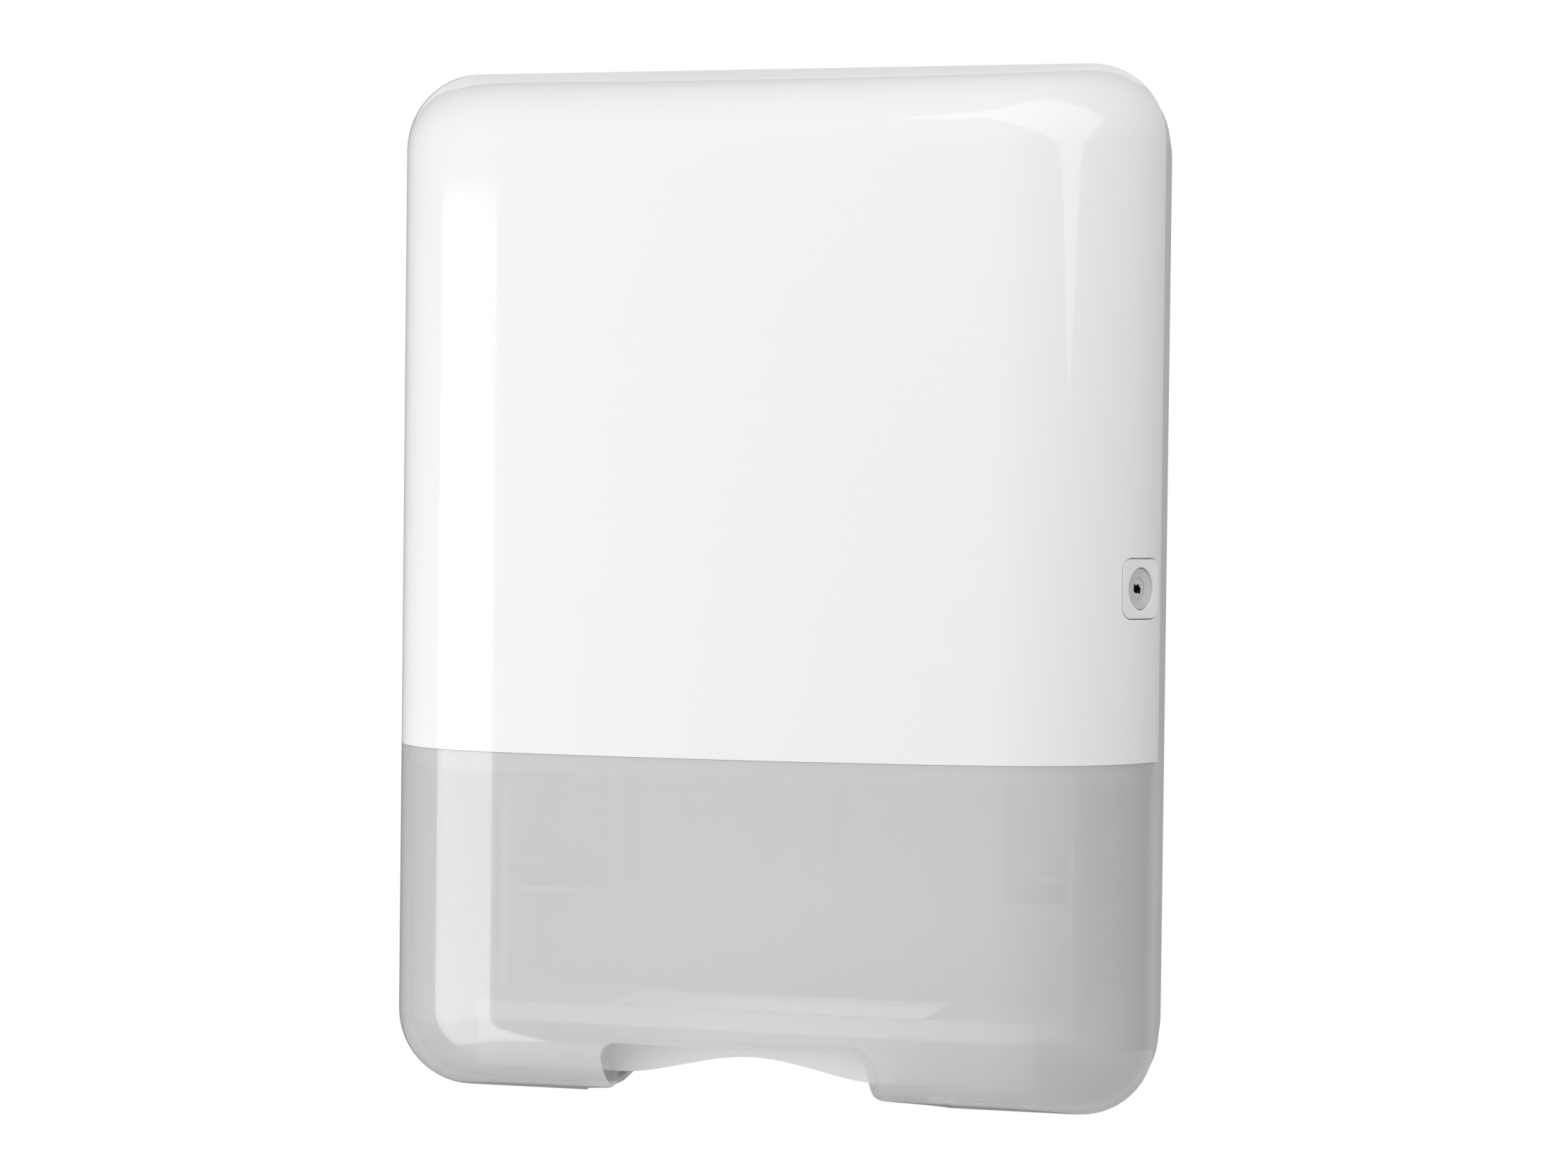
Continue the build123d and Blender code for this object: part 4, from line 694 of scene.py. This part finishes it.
for start, end in [
    (taken.outputs["Head Radius"], dome_size.inputs["X"]),
    (taken.outputs["Head Radius"], dome_size.inputs["Y"]),
    (taken.outputs["Head Height"], dome_size.inputs["Z"]),
    (dome.outputs["Mesh"], flatten.inputs["Geometry"]),
    (dome_size.outputs[0], flatten.inputs["Scale"]),
    (room_size.outputs[0], room.inputs["Size"]),
    (room.outputs["Mesh"], lift.inputs["Geometry"]),
    (lift_by.outputs[0], lift.inputs["Translation"]),
    (flatten.outputs[0], above.inputs["Mesh 2"]),
    (lift.outputs[0], above.inputs["Mesh 2"]),
    (taken.outputs["Recess Length"], along_size.inputs["X"]),
    (taken.outputs["Recess Width"], along_size.inputs["Y"]),
    (taken.outputs["Head Height"], along_size.inputs["Z"]),
    (taken.outputs["Recess Width"], across_size.inputs["X"]),
    (taken.outputs["Recess Length"], across_size.inputs["Y"]),
    (taken.outputs["Head Height"], across_size.inputs["Z"]),
    (along_size.outputs[0], slot_along.inputs["Size"]),
    (across_size.outputs[0], slot_across.inputs["Size"]),
    (slot_along.outputs["Mesh"], slots.inputs[0]),
    (slot_across.outputs["Mesh"], slots.inputs[0]),
    (slots.outputs[0], slots_up.inputs["Geometry"]),
    (slots_lift.outputs[0], slots_up.inputs["Translation"]),
    (taken.outputs["Head Height"], slots_lift.inputs["Z"]),
    (above.outputs["Mesh"], recessed.inputs["Mesh 1"]),
    (slots_up.outputs[0], recessed.inputs["Mesh 2"]),
    (taken.outputs["Shank Radius"], shank.inputs["Radius"]),
    (taken.outputs["Shank Length"], shank.inputs["Depth"]),
    (taken.outputs["Shank Length"], half_length.inputs[0]),
    (half_length.outputs[0], down_by.inputs["Z"]),
    (shank.outputs["Mesh"], shank_down.inputs["Geometry"]),
    (down_by.outputs[0], shank_down.inputs["Translation"]),
    (recessed.outputs["Mesh"], whole.inputs[0]),
    (shank_down.outputs[0], whole.inputs[0]),
    (taken.outputs["Places"], spots.inputs["Mesh"]),
    (taken.outputs["Direction"], turned.inputs["Vector"]),
    (spots.outputs[0], placed.inputs["Points"]),
    (whole.outputs[0], placed.inputs["Instance"]),
    (turned.outputs[0], placed.inputs["Rotation"]),
    (placed.outputs[0], real.inputs[0]),
    (real.outputs[0], dressed.inputs["Geometry"]),
    (taken.outputs["Steel"], dressed.inputs["Material"]),
    (dressed.outputs[0], given.inputs["Screws"]),
]:
    screws.links.new(start, end)
ROOM = 20 * mm
for axis in "XYZ":
    room_size.inputs[axis].default_value = ROOM
lift_by.inputs["Z"].default_value = ROOM / 2
HEAD_R = 2.9 * mm
HEAD = 1.8 * mm


def drive_screws(name, body, spots, direction, length):
    """A set of screws with the undersides of their heads at the spots."""
    values = {"Direction": direction, "Shank Length": length, "Steel": zinc_steel}
    place_piece(smooth(grow(name + "_set", screws, spots, values)), body, "zinc_steel", zinc_steel, name)


low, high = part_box("guide_screws")
columns, rows = (low.x + HEAD_R, high.x - HEAD_R), (low.z + HEAD_R, high.z - HEAD_R)
spots = [(x, low.y + HEAD, z) for x in columns for z in rows]
drive_screws("guide_screws", "housing", spots, (0, -1, 0), high.y - low.y - HEAD)
low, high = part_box("tray_screws")
spots = [(x, low.y + HEAD, low.z + HEAD_R) for x in (low.x + HEAD_R, high.x - HEAD_R)]
drive_screws("tray_screws", "housing", spots, (0, -1, 0), high.y - low.y - HEAD)
low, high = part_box("strike_screws")
spots = [(low.x + HEAD, low.y + HEAD_R, z) for z in (low.z + HEAD_R, high.z - HEAD_R)]
drive_screws("strike_screws", "housing", spots, (-1, 0, 0), high.x - low.x - HEAD)
low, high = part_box("hinge_arm_screws")
feet = [(low.x + HEAD_R, high.y - HEAD_R), (high.x - HEAD_R, low.y + HEAD_R)]
tops = [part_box(f"hinge_arm_{which}")[1].z for which in ("upper", "lower")]
spots = [(x, y, z) for x, y in feet for z in tops]
drive_screws("hinge_arm_screws", "cover", spots, (0, 0, 1), tops[1] - low.z)

# Springs: round spring-steel wire, coiled. A tree sweeps the wire along a helix with straight legs.
springs = bpy.data.node_groups.new("wire_spring", "GeometryNodeTree")
tree_input(springs, "Places", "NodeSocketGeometry")
tree_input(springs, "Turns", "NodeSocketFloat", 3.0)
tree_input(springs, "Coil Radius", "NodeSocketFloat", 5 * mm)
tree_input(springs, "Height", "NodeSocketFloat", 5 * mm)
tree_input(springs, "Wire Radius", "NodeSocketFloat", 0.4 * mm)
tree_input(springs, "First Leg", "NodeSocketFloat", 0.0)
tree_input(springs, "Last Leg", "NodeSocketFloat", 0.0)
tree_input(springs, "Steel", "NodeSocketMaterial")
springs.interface.new_socket("Spring", in_out="OUTPUT", socket_type="NodeSocketGeometry")
taken = springs.nodes.new("NodeGroupInput")
given = springs.nodes.new("NodeGroupOutput")
helix = springs.nodes.new("GeometryNodeCurveSpiral")
helix.inputs["Resolution"].default_value = 48
section = add_node(springs, "GeometryNodeCurvePrimitiveCircle", mode="RADIUS")
section.inputs["Resolution"].default_value = 12
first_leg = springs.nodes.new("GeometryNodeCurvePrimitiveLine")
last_leg = springs.nodes.new("GeometryNodeCurvePrimitiveLine")
first_start = springs.nodes.new("ShaderNodeCombineXYZ")
first_end = springs.nodes.new("ShaderNodeCombineXYZ")
last_start = springs.nodes.new("ShaderNodeCombineXYZ")
last_end = springs.nodes.new("ShaderNodeCombineXYZ")
backwards = add_node(springs, "ShaderNodeMath", operation="MULTIPLY")
backwards.inputs[1].default_value = -1.0
line = springs.nodes.new("GeometryNodeJoinGeometry")
wire = springs.nodes.new("GeometryNodeCurveToMesh")
wire.inputs["Fill Caps"].default_value = True
real = springs.nodes.new("GeometryNodeRealizeInstances")
dressed = springs.nodes.new("GeometryNodeSetMaterial")
for start, end in [
    (taken.outputs["Turns"], helix.inputs["Rotations"]),
    (taken.outputs["Coil Radius"], helix.inputs["Start Radius"]),
    (taken.outputs["Coil Radius"], helix.inputs["End Radius"]),
    (taken.outputs["Height"], helix.inputs["Height"]),
    (taken.outputs["Wire Radius"], section.inputs["Radius"]),
    (taken.outputs["Coil Radius"], first_start.inputs["X"]),
    (taken.outputs["Coil Radius"], first_end.inputs["X"]),
    (taken.outputs["First Leg"], backwards.inputs[0]),
    (backwards.outputs[0], first_end.inputs["Y"]),
    (taken.outputs["Coil Radius"], last_start.inputs["X"]),
    (taken.outputs["Height"], last_start.inputs["Z"]),
    (taken.outputs["Coil Radius"], last_end.inputs["X"]),
    (taken.outputs["Last Leg"], last_end.inputs["Y"]),
    (taken.outputs["Height"], last_end.inputs["Z"]),
    (first_start.outputs[0], first_leg.inputs["Start"]),
    (first_end.outputs[0], first_leg.inputs["End"]),
    (last_start.outputs[0], last_leg.inputs["Start"]),
    (last_end.outputs[0], last_leg.inputs["End"]),
    (helix.outputs["Curve"], line.inputs[0]),
    (first_leg.outputs["Curve"], line.inputs[0]),
    (last_leg.outputs["Curve"], line.inputs[0]),
    (line.outputs[0], wire.inputs["Curve"]),
    (section.outputs["Curve"], wire.inputs["Profile Curve"]),
    (wire.outputs["Mesh"], real.inputs[0]),
    (real.outputs[0], dressed.inputs["Geometry"]),
    (taken.outputs["Steel"], dressed.inputs["Material"]),
    (dressed.outputs[0], given.inputs["Spring"]),
]:
    springs.links.new(start, end)


def wind_spring(name, values, where):
    """A spring made by the tree and put in its place."""
    spring = grow(name + "_wire", springs, [(0, 0, 0)], {**values, "Steel": spring_steel})
    spring.data.transform(where)
    return dress_piece(smooth(spring, 60), "spring_steel", spring_steel, name)


WIRE_R = 0.4 * mm
BARREL_FLOOR_DEPTH = 17.4 * mm
BUTTON_BACK_DEPTH = 9.4 * mm
END_GAP = 0.1 * mm
spring_height = BARREL_FLOOR_DEPTH - BUTTON_BACK_DEPTH - 2 * (WIRE_R + END_GAP)
spring_foot = lock_frame @ Matrix.Translation((0, 0, -BARREL_FLOOR_DEPTH + WIRE_R + END_GAP))
button_spring = {"Turns": 3.5, "Coil Radius": 5.8 * mm, "Height": spring_height, "Wire Radius": WIRE_R}
push_spring = wind_spring("button_spring", button_spring, spring_foot)
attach(push_spring, "cover")
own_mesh(push_spring)
low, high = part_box("latch_spring")
latch_spring = {
    "Turns": 3.0, "Coil Radius": 5.6 * mm, "Height": high.z - low.z - 2 * WIRE_R, "Wire Radius": WIRE_R,
    "First Leg": 12 * mm, "Last Leg": 9.5 * mm,
}
latch_spring_foot = Matrix.Translation((pivot_x, pivot_y, low.z + WIRE_R)) @ Matrix.Rotation(pi, 4, "Z")
return_spring = wind_spring("latch_spring", latch_spring, latch_spring_foot)
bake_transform(return_spring)

# Floor of the studio, pale and plain, as far below the dispenser as it hangs in a washroom.
FLOOR_SIZE = 8
FLOOR_DROP = 1.2
bpy.ops.mesh.primitive_plane_add(size=FLOOR_SIZE, location=(0, 0, -HALF_HEIGHT - FLOOR_DROP))
floor = bpy.context.object
floor.name = "floor"
floor.data.materials.append(plastic("pale_floor", (0.9, 0.9, 0.9), 0.6, 50, 0.0001))


def softbox(name, corner, beside, above, radiance):
    """Soft light over the rectangle with these three corners, shining towards the dispenser."""
    corner, beside, above = Vector(corner), Vector(beside), Vector(above)
    along = beside - corner
    upward = above - corner
    middle = (beside + above) / 2
    away = along.cross(upward).normalized()
    if away.dot(middle) < 0:
        away.negate()
    data = bpy.data.lights.new(name, "AREA")
    data.shape = "RECTANGLE"
    data.size = along.length
    data.size_y = upward.length
    data.energy = pi * radiance * data.size * data.size_y
    lamp = bpy.data.objects.new(name, data)
    bpy.context.scene.collection.objects.link(lamp)
    along.normalize()
    lamp.matrix_world = Matrix((along, away.cross(along), away)).transposed().to_4x4()
    lamp.location = middle
    return lamp


# Studio: a tall softbox low on the left, which draws the bright strip down the left shoulder, a square one
# high on the right, whose corners show in the top right corner, and a low wide one behind, which the lid
# mirrors.
softbox("left_softbox", (-1.488, -0.249, -1.40), (-0.938, -1.201, -1.40), (-1.488, -0.249, 0.27), 1.5)
softbox("right_softbox", (1.195, -0.825, 0.110), (-0.042, -1.021, 1.103), (2.118, -0.310, 1.360), 1.2)
softbox("rear_softbox", (-1.3, 1.5, 0.62), (0.7, 1.5, 0.62), (-1.3, 1.5, 1.5), 0.55)

# Surround: a studio that is bright in front and dims to the right and behind, with a white backdrop in the
# picture.
world = bpy.data.worlds.new("studio_surround")
bpy.context.scene.world = world
world.use_nodes = True
around = world.node_tree
walls = around.nodes["Background"]
backdrop = add_node(around, "ShaderNodeBackground", strength=1.0)
backdrop.inputs["Color"].default_value = (1, 1, 1, 1)
walls.inputs["Color"].default_value = (1, 1, 1, 1)
towards = around.nodes.new("ShaderNodeTexCoord")
dimming = add_node(around, "ShaderNodeVectorMath", operation="DOT_PRODUCT")
dimming.inputs[1].default_value = (-0.14, -0.43, 0)
brightness = add_node(around, "ShaderNodeMath", operation="ADD")
brightness.inputs[1].default_value = 0.57
seen = around.nodes.new("ShaderNodeLightPath")
straight = add_node(around, "ShaderNodeMath", operation="LESS_THAN")
straight.inputs[1].default_value = 0.5
directly = add_node(around, "ShaderNodeMath", operation="MULTIPLY")
both = around.nodes.new("ShaderNodeMixShader")
for start, end in [
    (towards.outputs["Generated"], dimming.inputs[0]),
    (dimming.outputs["Value"], brightness.inputs[0]),
    (brightness.outputs[0], walls.inputs["Strength"]),
    (seen.outputs["Transparent Depth"], straight.inputs[0]),
    (straight.outputs[0], directly.inputs[0]),
    (seen.outputs["Is Camera Ray"], directly.inputs[1]),
    (directly.outputs[0], both.inputs["Fac"]),
    (walls.outputs[0], both.inputs[1]),
    (backdrop.outputs[0], both.inputs[2]),
    (both.outputs[0], around.nodes["World Output"].inputs["Surface"]),
]:
    around.links.new(start, end)
bpy.context.scene.view_settings.view_transform = "Standard"

# Camera at the photograph's place: in front, 15 degrees to the right and at the dispenser's mid-height.
camera_data = bpy.data.cameras.new("camera")
camera_data.sensor_width = 36
camera_data.lens = 88.29
camera = bpy.data.objects.new("camera", camera_data)
bpy.context.scene.collection.objects.link(camera)
CAMERA_PLACE = Vector((0.4167, -1.6569, 0.0314))
CAMERA_AIM = Vector((0.01226, -0.1, -0.00054))
CAMERA_ROLL = radians(0.662)
camera.location = CAMERA_PLACE
camera.rotation_mode = "QUATERNION"
looking = (CAMERA_AIM - CAMERA_PLACE).to_track_quat("-Z", "Y")
camera.rotation_quaternion = looking @ Quaternion((0, 0, 1), CAMERA_ROLL)
camera_data.clip_start = 0.05
camera_data.clip_end = 30
bpy.context.scene.camera = camera
